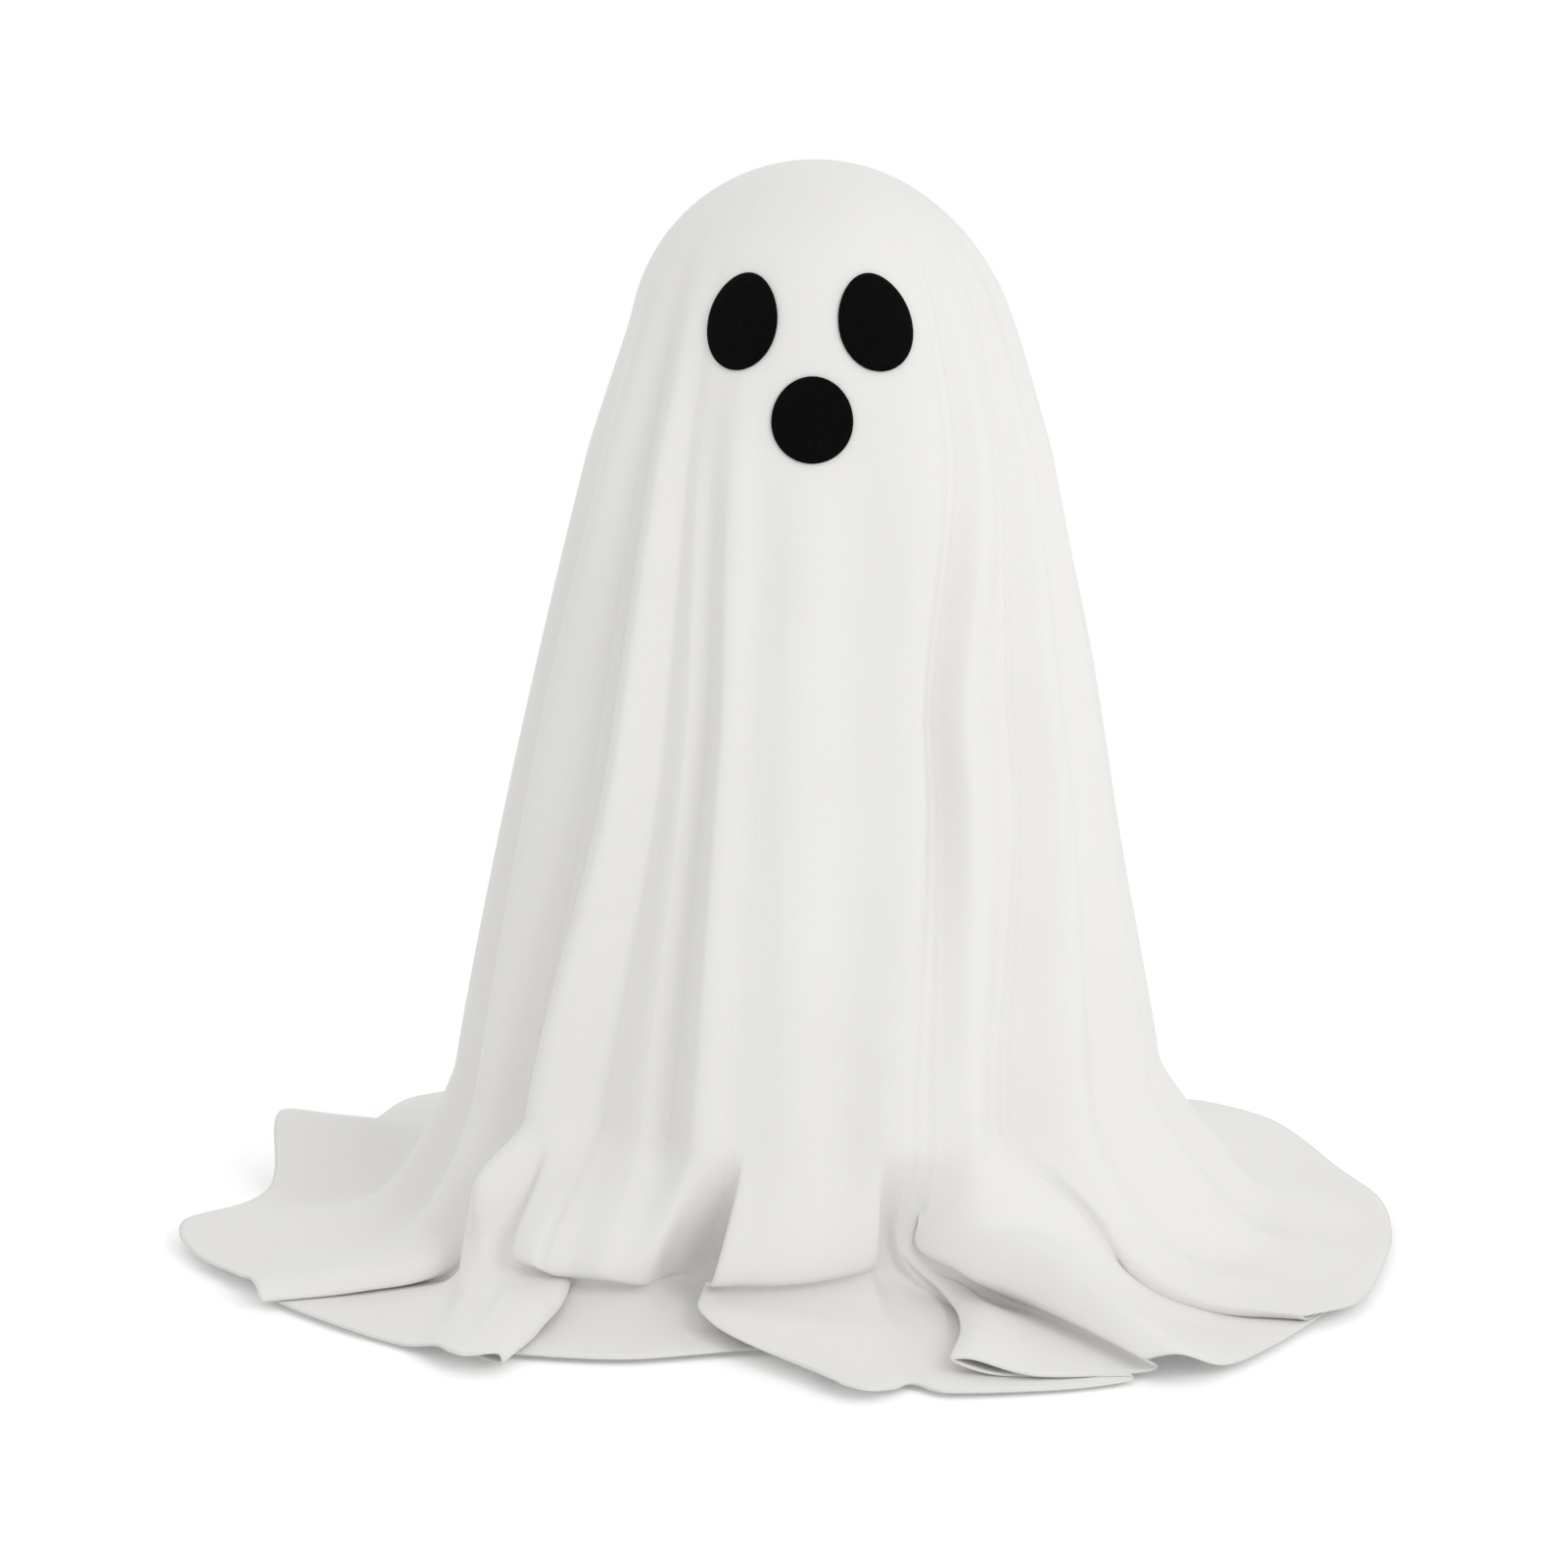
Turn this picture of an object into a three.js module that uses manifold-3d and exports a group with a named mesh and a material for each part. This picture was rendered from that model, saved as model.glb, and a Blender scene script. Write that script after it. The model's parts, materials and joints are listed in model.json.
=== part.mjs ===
// A sheet ghost that lights up: a battery base, a mast, a lamp head, a wire form and the draped sheet.
// Millimetres, +Z up. The origin is on the table under the mast, and the face looks along -Y.
import * as THREE from "three";
import { mergeVertices } from "three/addons/utils/BufferGeometryUtils.js";
import Module from "manifold-3d";

const wasm = await Module();
wasm.setup();

// Overall height, from the table to the crown of the sheet
const HEIGHT = 300;

// Clearances
const SEAT_GAP = 0.25; // between faces that rest on each other
const SLIP_FIT = 0.2; // round a piece that is pushed into another
const RUN_FIT = 0.4; // round a piece that moves

// Battery base
const PAD_RADIUS = 44;
const PAD_THICKNESS = 2;
const BASE_RADIUS = 60;
const BASE_TOP = 32;
const BASE_WALL = 2.2;
const BASE_CORNER = 5;
const COVER_THICKNESS = 3;
const COVER_CHAMFER = 1;
const SPIGOT_HEIGHT = 3;
const SPIGOT_WALL = 1.5;

// Screws of the base cover
const COVER_SCREWS = 4;
const COVER_SCREW_INSET = 9; // from the rim of the base to a screw
const COVER_BOSS_RADIUS = 4.5;
const COVER_BOSS_HEIGHT = 3;
const SCREW_HEAD_RADIUS = 2.7;
const SCREW_HEAD_HEIGHT = 1.9;
const SCREW_RADIUS = 1.2;
const SCREW_LENGTH = 12;
const SCREW_TIP = 1.2;
const SCREW_SINK = 2; // how deep a head sits below the cover's underside
const BOSS_RADIUS = 3.6;

// Battery compartment, with three AAA cells lying across the rear half
const CELLS = 3;
const CELL_RADIUS = 5.25;
const CELL_LENGTH = 44.5;
const CELL_NUB_RADIUS = 1.9;
const CELL_NUB_HEIGHT = 0.9;
const CELL_GAP = 0.5;
const WELL_FRONT = 12;
const WELL_WALL = 2;
const PLATE_THICKNESS = 0.5;
const TAG_WIDTH = 4;
const TAG_DROP = 4;
const SPRING_SPACE = 5.6;
const SPRING_TURNS = 3;
const SPRING_WIRE = 0.38;
const SPRING_WIDE = 3.9;
const SPRING_NARROW = 2.4;

// Battery door and its hinge
const DOOR_THICKNESS = 1.8;
const DOOR_LAND = 1.3; // how far the door laps over the compartment's walls
const HINGE_SETBACK = 4; // from the compartment's rear face to the pin
const HINGE_SWING = 1.2; // room behind the door for its rear edge to swing up
const BARREL_RADIUS = 1.7;
const BARREL_LENGTH = 24;
const HINGE_PIN_RADIUS = 0.8;
const HINGE_FIT = 0.08; // round the pin
const HINGE_LUG = 4;
const TROUGH_WALL = 1.5;
const LATCH_WIDTH = 8;
const LATCH_THICKNESS = 1.4;
const LATCH_DROP = 5;
const LATCH_OFFSET = 19;
const GRIP_RIBS = 3;
const GRIP_RIB_HEIGHT = 0.6;

// Power switch
const SWITCH_Y = -38;
const SWITCH_TRAVEL = 4;
const KNOB_LENGTH = 8;
const KNOB_WIDTH = 5;
const KNOB_HEIGHT = 2.6;
const KNOB_RIBS = 3;
const STEM_LENGTH = 3;
const STEM_WIDTH = 2.4;
const SWITCH_POCKET_DEPTH = 1;
const SWITCH_BODY_LENGTH = 14;
const SWITCH_BODY_WIDTH = 7;
const SWITCH_BODY_HEIGHT = 5.5;
const STEM_ENGAGES = 2.6; // how far the stem reaches into the switch

// Circuit board
const BOARD_LENGTH = 46;
const BOARD_WIDTH = 22;
const BOARD_THICKNESS = 1.6;
const BOARD_SCREW_SPACING = 38;
const BOARD_BOSS_RADIUS = 2.8;
const CHIP_LENGTH = 5;
const CHIP_WIDTH = 4;
const CHIP_HEIGHT = 1.6;
const RESISTOR_LENGTH = 3.2;
const RESISTOR_WIDTH = 1.6;
const RESISTOR_HEIGHT = 0.7;
const CAPACITOR_RADIUS = 2.5;
const CAPACITOR_HEIGHT = 5;

// Leads
const LEAD_RADIUS = 0.8;
const LAMP_LEAD_RADIUS = 1.6;
const LEAD_SIDES = 8;

// Mast, its socket and the collar that locks it
const MAST_RADIUS = 6;
const MAST_WALL = 1.6;
const SOCKET_WALL = 3.3;
const COLLAR_HEIGHT = 12;
const COLLAR_EDGE = 1;
const SOCKET_FLOOR = 17; // above the table
const SOCKET_FLOOR_THICKNESS = 2;
const GRUB_RADIUS = 1.5;

// Lamp head
const DOME_RADIUS = 48.3;
const DOME_WALL = 1.6;
const DOME_SKIRT = 9; // straight rim below the half sphere
const HEAD_FLANGE = 2; // how far the plate stands out past the dome
const HEAD_PLATE_THICKNESS = 3;
const HEAD_RIM_DEPTH = 8;
const HEAD_RIM_WIDTH = 9;
const HEAD_SPIGOT_HEIGHT = 5;
const HEAD_SPIGOT_WALL = 2;
const HEAD_HUB_WALL = 3.4;
const HEAD_HUB_DEPTH = 16;
const LED_BOARD_RADIUS = 15;
const LED_BOARD_THICKNESS = 1.6;
const LEDS = 4;
const LED_CIRCLE = 9;
const LED_RADIUS = 2.5;
const LED_FLANGE = 0.5;
const LED_HEIGHT = 7.5;
const DIFFUSER_RADIUS = 20;
const DIFFUSER_HEIGHT = 24;
const DIFFUSER_WALL = 1.2;

// Wire form
const RIBS = 6;
const RIB_RADIUS = 1.3;
const RIB_PLUG = 7; // how deep a rib is plugged into the head plate
const HOOP_RADIUS = 82;
const HOOP_HEIGHT = 48;
const HOOP_WIRE = 1.6;
const MIDDLE_HOOP_HEIGHT = 142;
const MIDDLE_HOOP_WIRE = 1.2;

// Sheet
const SHEET_THICKNESS = 1.2;
const SHEET_EASE = 1; // air between the sheet and what it hangs on
const DOME_WRAP = 80; // degrees from the crown over which the sheet lies on the dome
const SHOULDER_DROP = 77; // from the crown to where the sheet meets the ribs
const HEAD_DROP = 60; // below the crown, where the folds' first directions are given
const WAIST_LEVEL = 150;
const FELT_THICKNESS = 1;
const FACE_TURN = -2.5; // the face looks a little to one side, in degrees
const EYE_DROP = 39; // from the crown to the middle of an eye
const EYE_TURN = 20.7; // degrees from the middle of the face
const EYE_HALF_WIDTH = 9.8;
const EYE_HALF_HEIGHT = 12.9;
const EYE_TILT = 9;
const MOUTH_DROP = 63.7;
const MOUTH_HALF_WIDTH = 10.7;
const MOUTH_HALF_HEIGHT = 11.5;

// How finely round pieces are faceted
const FINE = 48;
const ROUND = 36;
const MEDIUM = 24;
const SMALL = 12;

const TURN = 2 * Math.PI;
const MERGE = 1e-4;
const OVERCUT = 1; // how far a cutter runs past the face that it opens

// Heights and radii that follow from the sizes above
const coverBottom = PAD_THICKNESS + SEAT_GAP;
const coverTop = coverBottom + COVER_THICKNESS;
const housingBottom = coverTop + SEAT_GAP;
const housingInside = BASE_RADIUS - BASE_WALL;
const ceiling = BASE_TOP - BASE_WALL;
const coverBossTop = coverTop + COVER_BOSS_HEIGHT;
const coverScrewCircle = BASE_RADIUS - COVER_SCREW_INSET;
const socketRadius = MAST_RADIUS + SLIP_FIT + SOCKET_WALL;
const collarBottom = BASE_TOP + SEAT_GAP;
const collarTop = collarBottom + COLLAR_HEIGHT;
const collarMiddle = (collarBottom + collarTop) / 2;
const leadHole = LAMP_LEAD_RADIUS + 1;
const wellHalf = (CELL_LENGTH + SPRING_SPACE) / 2 + PLATE_THICKNESS + SEAT_GAP;
const wellDepth = CELLS * (2 * CELL_RADIUS + CELL_GAP) + CELL_GAP;
const wellRear = WELL_FRONT + wellDepth;
const doorTop = BASE_TOP;
const doorBottom = doorTop - DOOR_THICKNESS;
const wellRim = doorBottom - SEAT_GAP;
const wellFloor = wellRim - 2 * CELL_RADIUS - 2 * CELL_GAP;
const cellHeight = wellFloor + CELL_GAP + CELL_RADIUS;
const hingeY = wellRear + HINGE_SETBACK;
const hingeZ = BASE_TOP - BARREL_RADIUS + 0.2;
const switchBodyTop = ceiling - 2;
const boardTop = switchBodyTop - SWITCH_BODY_HEIGHT - SEAT_GAP;
const boardBottom = boardTop - BOARD_THICKNESS;
const domeCentre = HEIGHT - SHEET_THICKNESS - SHEET_EASE - DOME_RADIUS;
const domeRim = domeCentre - DOME_SKIRT;
const plateTop = domeRim - SEAT_GAP;
const plateBottom = plateTop - HEAD_PLATE_THICKNESS;
const headRadius = DOME_RADIUS + HEAD_FLANGE;
const mastBottom = SOCKET_FLOOR + SEAT_GAP;
const mastTop = plateBottom - SEAT_GAP;
const ribPlugHeight = plateTop - HEAD_RIM_DEPTH / 2;
const ledBoardBottom = plateTop + SEAT_GAP;
const ledBoardTop = ledBoardBottom + LED_BOARD_THICKNESS;
const ribTopRadius = headRadius + 2.4;
const shoulderHeight = HEIGHT - SHOULDER_DROP;
const headLevel = HEIGHT - HEAD_DROP;
const eyeHeight = HEIGHT - EYE_DROP;
const mouthHeight = HEIGHT - MOUTH_DROP;
const ribFootRadius = HOOP_RADIUS + HOOP_WIRE + RIB_RADIUS + SEAT_GAP;

// The line that a rib follows: its radius at a height
function ribRadiusAt(z) {
  const share = (ribPlugHeight - z) / (ribPlugHeight - HOOP_HEIGHT);
  return ribTopRadius + share * (ribFootRadius - ribTopRadius);
}

// A closed geometry as a solid that can be joined and cut
function solidOf(geometry) {
  const bare = new THREE.BufferGeometry();
  bare.setAttribute("position", geometry.getAttribute("position"));
  if (geometry.index) bare.setIndex(geometry.index);
  const merged = mergeVertices(bare, MERGE);
  const faces = [];
  const index = merged.index.array;
  for (let i = 0; i < index.length; i += 3) {
    const [a, b, c] = [index[i], index[i + 1], index[i + 2]];
    if (a !== b && b !== c && c !== a) faces.push(a, b, c);
  }
  return new wasm.Manifold(
    new wasm.Mesh({
      numProp: 3,
      vertProperties: merged.attributes.position.array,
      triVerts: new Uint32Array(faces),
    }),
  );
}

// A solid as a flat-shaded three.js geometry
function geometryOf(solid) {
  const mesh = solid.getMesh();
  const geometry = new THREE.BufferGeometry();
  const points = new Float32Array(mesh.numVert * 3);
  for (let i = 0; i < mesh.numVert; i++) {
    const start = i * mesh.numProp;
    points.set(mesh.vertProperties.subarray(start, start + 3), i * 3);
  }
  geometry.setAttribute("position", new THREE.BufferAttribute(points, 3));
  geometry.setIndex(new THREE.BufferAttribute(mesh.triVerts, 1));
  const flat = geometry.toNonIndexed();
  flat.computeVertexNormals();
  return flat;
}

// A solid turned from an outline of [radius, height] points, which closes on itself or on the axis
function turned(outline, segments = FINE) {
  const points = outline.map(([r, z]) => new THREE.Vector2(r, z));
  const last = outline.length - 1;
  if (outline[0][0] > 0 || outline[last][0] > 0) points.push(points[0].clone());
  if (THREE.ShapeUtils.area(points) < 0) points.reverse();
  return solidOf(new THREE.LatheGeometry(points, segments).rotateX(Math.PI / 2));
}

// A box between two corners
function block([x0, y0, z0], [x1, y1, z1]) {
  const box = new THREE.BoxGeometry(x1 - x0, y1 - y0, z1 - z0);
  box.translate((x0 + x1) / 2, (y0 + y1) / 2, (z0 + z1) / 2);
  return solidOf(box);
}

// An upright round bar
function post(x, y, z0, z1, radius, segments = SMALL) {
  const bar = new THREE.CylinderGeometry(radius, radius, z1 - z0, segments);
  bar.rotateX(Math.PI / 2).translate(x, y, (z0 + z1) / 2);
  return solidOf(bar);
}

// A round bar along X
function barX(x0, x1, y, z, radius, segments = SMALL) {
  const bar = new THREE.CylinderGeometry(radius, radius, x1 - x0, segments);
  bar.rotateZ(Math.PI / 2).translate((x0 + x1) / 2, y, z);
  return solidOf(bar);
}

// The points of an arc in the plane of a profile, ends included
function arc(r, z, radius, from, to, steps) {
  return Array.from({ length: steps + 1 }, (_, i) => {
    const a = THREE.MathUtils.degToRad(from + ((to - from) * i) / steps);
    return [r + radius * Math.cos(a), z + radius * Math.sin(a)];
  });
}

// A round wire of constant section through a list of points, with flat ends
function wireThrough(points, radius, sides) {
  const count = points.length;
  const tangents = points.map((p, i) =>
    points[Math.min(i + 1, count - 1)].clone().sub(points[Math.max(i - 1, 0)]).normalize(),
  );
  const across = new THREE.Vector3(tangents[0].y, tangents[0].z, tangents[0].x);
  const positions = [];
  points.forEach((p, i) => {
    across.addScaledVector(tangents[i], -across.dot(tangents[i])).normalize();
    const up = tangents[i].clone().cross(across);
    for (let k = 0; k < sides; k++) {
      const a = (TURN * k) / sides;
      const q = p.clone();
      q.addScaledVector(across, radius * Math.cos(a)).addScaledVector(up, radius * Math.sin(a));
      positions.push(q.x, q.y, q.z);
    }
  });
  const faces = [];
  for (let i = 0; i < count - 1; i++) {
    for (let k = 0; k < sides; k++) {
      const [a, b] = [i * sides + k, i * sides + ((k + 1) % sides)];
      faces.push(a, b, b + sides, a, b + sides, a + sides);
    }
  }
  const end = (count - 1) * sides;
  for (let k = 1; k < sides - 1; k++) {
    faces.push(0, k + 1, k, end, end + k, end + k + 1);
  }
  const wire = new THREE.BufferGeometry();
  wire.setAttribute("position", new THREE.Float32BufferAttribute(positions, 3));
  wire.setIndex(faces);
  return solidOf(wire);
}

// A flexible lead along a smooth curve through chosen points
function leadThrough(points, radius, steps) {
  const section = new THREE.Shape();
  section.absarc(0, 0, radius, 0, TURN);
  const path = new THREE.CatmullRomCurve3(points, false, "centripetal");
  const curveSegments = LEAD_SIDES / 2; // each gives two sides on a full circle
  const options = { steps, extrudePath: path, curveSegments, bevelEnabled: false };
  return solidOf(new THREE.ExtrudeGeometry(section, options));
}

function material(color, roughness, metalness = 0, opacity = 1) {
  return new THREE.MeshStandardMaterial({
    color,
    roughness,
    metalness,
    opacity,
    transparent: opacity < 1,
  });
}

const finishes = {
  white_plastic: material(0xf1f0ec, 0.45),
  grey_plastic: material(0x54565a, 0.5),
  black_foam: material(0x202124, 0.9),
  zinc_steel: material(0xb9bcbf, 0.35, 1),
  spring_steel: material(0xc9cbcd, 0.3, 1),
  white_wire: material(0xeceae4, 0.4),
  cell_sleeve: material(0x2f6f4f, 0.4),
  board_green: material(0x1d5a3a, 0.5),
  chip_black: material(0x17181a, 0.5),
  red_lead: material(0xb3261e, 0.5),
  black_lead: material(0x1b1b1c, 0.5),
  clear_lead: material(0xe3e2dc, 0.4),
  led_amber: material(0xf3c96a, 0.25),
  frosted_plastic: material(0xf6f3ea, 0.6, 0, 0.75),
  white_cloth: material(0xeeede9, 0.85),
  black_felt: material(0x101010, 0.95),
};

const ghost = new THREE.Group();

function add(name, solid, finish, x = 0, y = 0, z = 0) {
  const mesh = new THREE.Mesh(geometryOf(solid), finishes[finish]);
  mesh.name = name;
  mesh.position.set(x, y, z);
  ghost.add(mesh);
  return mesh;
}

// Places shared by a hole and what goes in it
function coverScrewPlaces() {
  return Array.from({ length: COVER_SCREWS }, (_, i) => {
    const a = (TURN * (i + 0.5)) / COVER_SCREWS;
    return [coverScrewCircle * Math.cos(a), coverScrewCircle * Math.sin(a)];
  });
}

function boardScrewPlaces() {
  return [-1, 1].map((side) => [(side * BOARD_SCREW_SPACING) / 2, SWITCH_Y]);
}

function cellY(i) {
  return WELL_FRONT + CELL_GAP + CELL_RADIUS + i * (2 * CELL_RADIUS + CELL_GAP);
}

// Which end of the compartment a cell's nub points to
function nubSide(i) {
  return i % 2 === 0 ? 1 : -1;
}

// A self-tapping screw pointing up, with the top of its head at z = 0
function screw(length) {
  return turned(
    [
      [0, -SCREW_HEAD_HEIGHT],
      [SCREW_HEAD_RADIUS - 0.5, -SCREW_HEAD_HEIGHT],
      [SCREW_HEAD_RADIUS, -SCREW_HEAD_HEIGHT + 0.6],
      [SCREW_HEAD_RADIUS, 0],
      [SCREW_RADIUS, 0],
      [SCREW_RADIUS, length - SCREW_TIP],
      [0, length],
    ],
    SMALL,
  );
}

function basePad() {
  return post(0, 0, 0, PAD_THICKNESS, PAD_RADIUS, FINE);
}

// The underside of the base: a disc with a locating spigot and four counterbored bosses
function baseCover() {
  const spigot = housingInside - SLIP_FIT;
  let cover = turned([
    [0, coverBottom],
    [BASE_RADIUS - COVER_CHAMFER, coverBottom],
    [BASE_RADIUS, coverBottom + COVER_CHAMFER],
    [BASE_RADIUS, coverTop],
    [spigot, coverTop],
    [spigot, coverTop + SPIGOT_HEIGHT],
    [spigot - SPIGOT_WALL, coverTop + SPIGOT_HEIGHT],
    [spigot - SPIGOT_WALL, coverTop],
    [0, coverTop],
  ]);
  const headTop = coverBottom + SCREW_SINK + SCREW_HEAD_HEIGHT;
  for (const [x, y] of coverScrewPlaces()) {
    cover = cover
      .add(post(x, y, coverTop - OVERCUT, coverBossTop, COVER_BOSS_RADIUS))
      .subtract(post(x, y, coverBottom - OVERCUT, headTop + SEAT_GAP, SCREW_HEAD_RADIUS + RUN_FIT))
      .subtract(post(x, y, coverBottom, coverBossTop + OVERCUT, SCREW_RADIUS + RUN_FIT));
  }
  return cover;
}

// The moulded upper shell of the base, turned in one piece with the mast's socket
function housingShell() {
  const corner = arc(BASE_RADIUS - BASE_CORNER, BASE_TOP - BASE_CORNER, BASE_CORNER, 0, 90, 4);
  const bore = MAST_RADIUS + SLIP_FIT;
  return turned([
    [BASE_RADIUS, housingBottom],
    ...corner,
    [bore, BASE_TOP],
    [bore, SOCKET_FLOOR],
    [leadHole, SOCKET_FLOOR],
    [leadHole, SOCKET_FLOOR - SOCKET_FLOOR_THICKNESS],
    [socketRadius, SOCKET_FLOOR - SOCKET_FLOOR_THICKNESS],
    [socketRadius, ceiling],
    [housingInside - BASE_CORNER / 2, ceiling],
    [housingInside, ceiling - BASE_CORNER / 2],
    [housingInside, housingBottom],
  ]);
}

function batteryWell() {
  return block(
    [-wellHalf - WELL_WALL, WELL_FRONT - WELL_WALL, wellFloor - WELL_WALL],
    [wellHalf + WELL_WALL, wellRear + WELL_WALL, ceiling + OVERCUT],
  );
}

function wellCavity() {
  return block([-wellHalf, WELL_FRONT, wellFloor], [wellHalf, wellRear, BASE_TOP + OVERCUT]);
}

// The step in the base's top that the door lies in, with room for its barrel and its latches
function doorRecess() {
  const half = wellHalf + DOOR_LAND + RUN_FIT;
  const front = WELL_FRONT - DOOR_LAND - RUN_FIT;
  const barrelHalf = BARREL_LENGTH / 2 + RUN_FIT;
  const barrelRoom = BARREL_RADIUS + RUN_FIT;
  const latchHalf = LATCH_WIDTH / 2 + RUN_FIT;
  const rear = hingeY - BARREL_RADIUS;
  let recess = block([-half, front, wellRim], [half, rear, BASE_TOP + OVERCUT]);
  recess = recess.add(
    block(
      [-barrelHalf, hingeY - barrelRoom, hingeZ - barrelRoom],
      [barrelHalf, hingeY + barrelRoom, BASE_TOP + OVERCUT],
    ),
  );
  for (const side of [-1, 1]) {
    const x = side * LATCH_OFFSET;
    const latchFront = WELL_FRONT - WELL_WALL - LATCH_THICKNESS - 2 * RUN_FIT;
    recess = recess.add(
      block(
        [x - latchHalf, latchFront, ceiling - OVERCUT],
        [x + latchHalf, WELL_FRONT - DOOR_LAND, BASE_TOP + OVERCUT],
      ),
    );
  }
  return recess;
}

// The trough under the door's barrel, whose ends hold the hinge pin
function hingeTrough() {
  const half = BARREL_LENGTH / 2 + RUN_FIT + HINGE_LUG;
  const room = BARREL_RADIUS + RUN_FIT + TROUGH_WALL;
  return block([-half, wellRear, hingeZ - room], [half, hingeY + room, BASE_TOP]);
}

// The window of the power switch: a shallow pocket for the knob and a slot for its stem
function switchWindow() {
  const half = (SWITCH_TRAVEL + KNOB_LENGTH) / 2 + RUN_FIT;
  const slot = (SWITCH_TRAVEL + STEM_LENGTH) / 2 + RUN_FIT;
  const [y, wide, thin] = [SWITCH_Y, KNOB_WIDTH / 2 + RUN_FIT, STEM_WIDTH / 2 + RUN_FIT];
  return block(
    [-half, y - wide, BASE_TOP - SWITCH_POCKET_DEPTH],
    [half, y + wide, BASE_TOP + OVERCUT],
  ).add(block([-slot, y - thin, ceiling - OVERCUT], [slot, y + thin, BASE_TOP]));
}

function baseHousing() {
  let housing = housingShell().add(batteryWell()).add(hingeTrough());
  const pilot = SCREW_RADIUS + SLIP_FIT / 2;
  for (const [x, y] of coverScrewPlaces()) {
    housing = housing.add(post(x, y, coverBossTop + SEAT_GAP, ceiling + OVERCUT, BOSS_RADIUS));
  }
  for (const [x, y] of boardScrewPlaces()) {
    housing = housing.add(post(x, y, boardTop + SEAT_GAP, ceiling + OVERCUT, BOARD_BOSS_RADIUS));
  }
  housing = housing.subtract(doorRecess()).subtract(wellCavity()).subtract(switchWindow());
  const pinHalf = BARREL_LENGTH / 2 + RUN_FIT + HINGE_LUG;
  housing = housing.subtract(
    barX(-pinHalf - OVERCUT, pinHalf + OVERCUT, hingeY, hingeZ, HINGE_PIN_RADIUS + HINGE_FIT, SMALL),
  );
  const screwTop = coverBottom + SCREW_SINK + SCREW_HEAD_HEIGHT + SCREW_LENGTH;
  for (const [x, y] of coverScrewPlaces()) {
    housing = housing.subtract(post(x, y, housingBottom, screwTop + SEAT_GAP, pilot));
  }
  for (const [x, y] of boardScrewPlaces()) {
    housing = housing.subtract(post(x, y, boardTop, ceiling - OVERCUT, pilot));
  }
  for (const [x, y] of [tagPlace(1), tagPlace(-1)]) {
    const half = TAG_WIDTH / 2 + SLIP_FIT;
    const deep = PLATE_THICKNESS + 2 * SLIP_FIT;
    housing = housing.subtract(
      block(
        [x - deep / 2, y - half, wellFloor - WELL_WALL - OVERCUT],
        [x + deep / 2, y + half, wellFloor + OVERCUT],
      ),
    );
  }
  return housing;
}

// The ring round the mast that stands on the base and is locked by a grub screw
function mastCollar() {
  const bore = MAST_RADIUS + SLIP_FIT;
  const ring = turned([
    [bore, collarBottom],
    [socketRadius, collarBottom],
    [socketRadius, collarTop - COLLAR_EDGE],
    [socketRadius - COLLAR_EDGE, collarTop],
    [bore, collarTop],
  ], MEDIUM);
  const reach = socketRadius + OVERCUT;
  return ring.subtract(barX(0, reach, 0, collarMiddle, GRUB_RADIUS + SLIP_FIT, SMALL));
}

// Where the solder tag of an end plate goes through the compartment's floor
function tagPlace(side) {
  const cell = side > 0 ? 0 : CELLS - 1;
  const x = side * (wellHalf - SEAT_GAP - PLATE_THICKNESS / 2);
  return [x, cellY(cell)];
}

// A cell lying along X, with its nub at +X and its middle at the origin
function cell() {
  const half = CELL_LENGTH / 2;
  const edge = 0.6;
  return turned(
    [
      [0, -half],
      [CELL_RADIUS - edge, -half],
      [CELL_RADIUS, -half + edge],
      [CELL_RADIUS, half - CELL_NUB_HEIGHT - edge],
      [CELL_RADIUS - edge, half - CELL_NUB_HEIGHT],
      [CELL_NUB_RADIUS, half - CELL_NUB_HEIGHT],
      [CELL_NUB_RADIUS, half],
      [0, half],
    ],
    18,
  ).rotate([0, 90, 0]);
}

function cellX(i) {
  const slack = SPRING_SPACE / 2;
  return nubSide(i) * slack;
}

// A contact plate that stands against an end wall, behind one cell or two
function contactPlate(side, firstCell, lastCell, tag) {
  const face = side * (wellHalf - SEAT_GAP);
  const back = face - side * PLATE_THICKNESS;
  const [x0, x1] = [Math.min(face, back), Math.max(face, back)];
  const half = CELL_RADIUS - 1;
  const [y0, y1] = [cellY(firstCell) - half, cellY(lastCell) + half];
  const low = wellFloor + SEAT_GAP;
  let plate = block([x0, y0, low], [x1, y1, low + 2 * CELL_RADIUS - 1]);
  if (tag) {
    const y = tagPlace(side)[1];
    plate = plate.add(
      block([x0, y - TAG_WIDTH / 2, wellFloor - TAG_DROP], [x1, y + TAG_WIDTH / 2, low + 1]),
    );
  }
  return plate;
}

// A conical contact spring along X: wide at its plate, narrow at the cell
function contactSpring(side, i) {
  const plateFace = side * (wellHalf - SEAT_GAP - PLATE_THICKNESS - SEAT_GAP);
  const cellFace = cellX(i) + side * (CELL_LENGTH / 2 + SEAT_GAP);
  const lead = 2 * SPRING_WIRE;
  const length = Math.abs(plateFace - cellFace) - 2 * lead;
  const steps = SPRING_TURNS * 8;
  const points = [new THREE.Vector3(plateFace, SPRING_WIDE, 0)];
  for (let k = 0; k <= steps; k++) {
    const share = k / steps;
    const a = TURN * SPRING_TURNS * share;
    const r = SPRING_WIDE + share * (SPRING_NARROW - SPRING_WIDE);
    const x = plateFace - side * (lead + share * length);
    points.push(new THREE.Vector3(x, r * Math.cos(a), r * Math.sin(a)));
  }
  points.push(new THREE.Vector3(cellFace, SPRING_NARROW, 0));
  for (const p of points) p.add(new THREE.Vector3(0, cellY(i), cellHeight));
  return { solid: wireThrough(points, SPRING_WIRE, 5), gap: leastGap(points, SPRING_WIRE, 7) };
}

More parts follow.
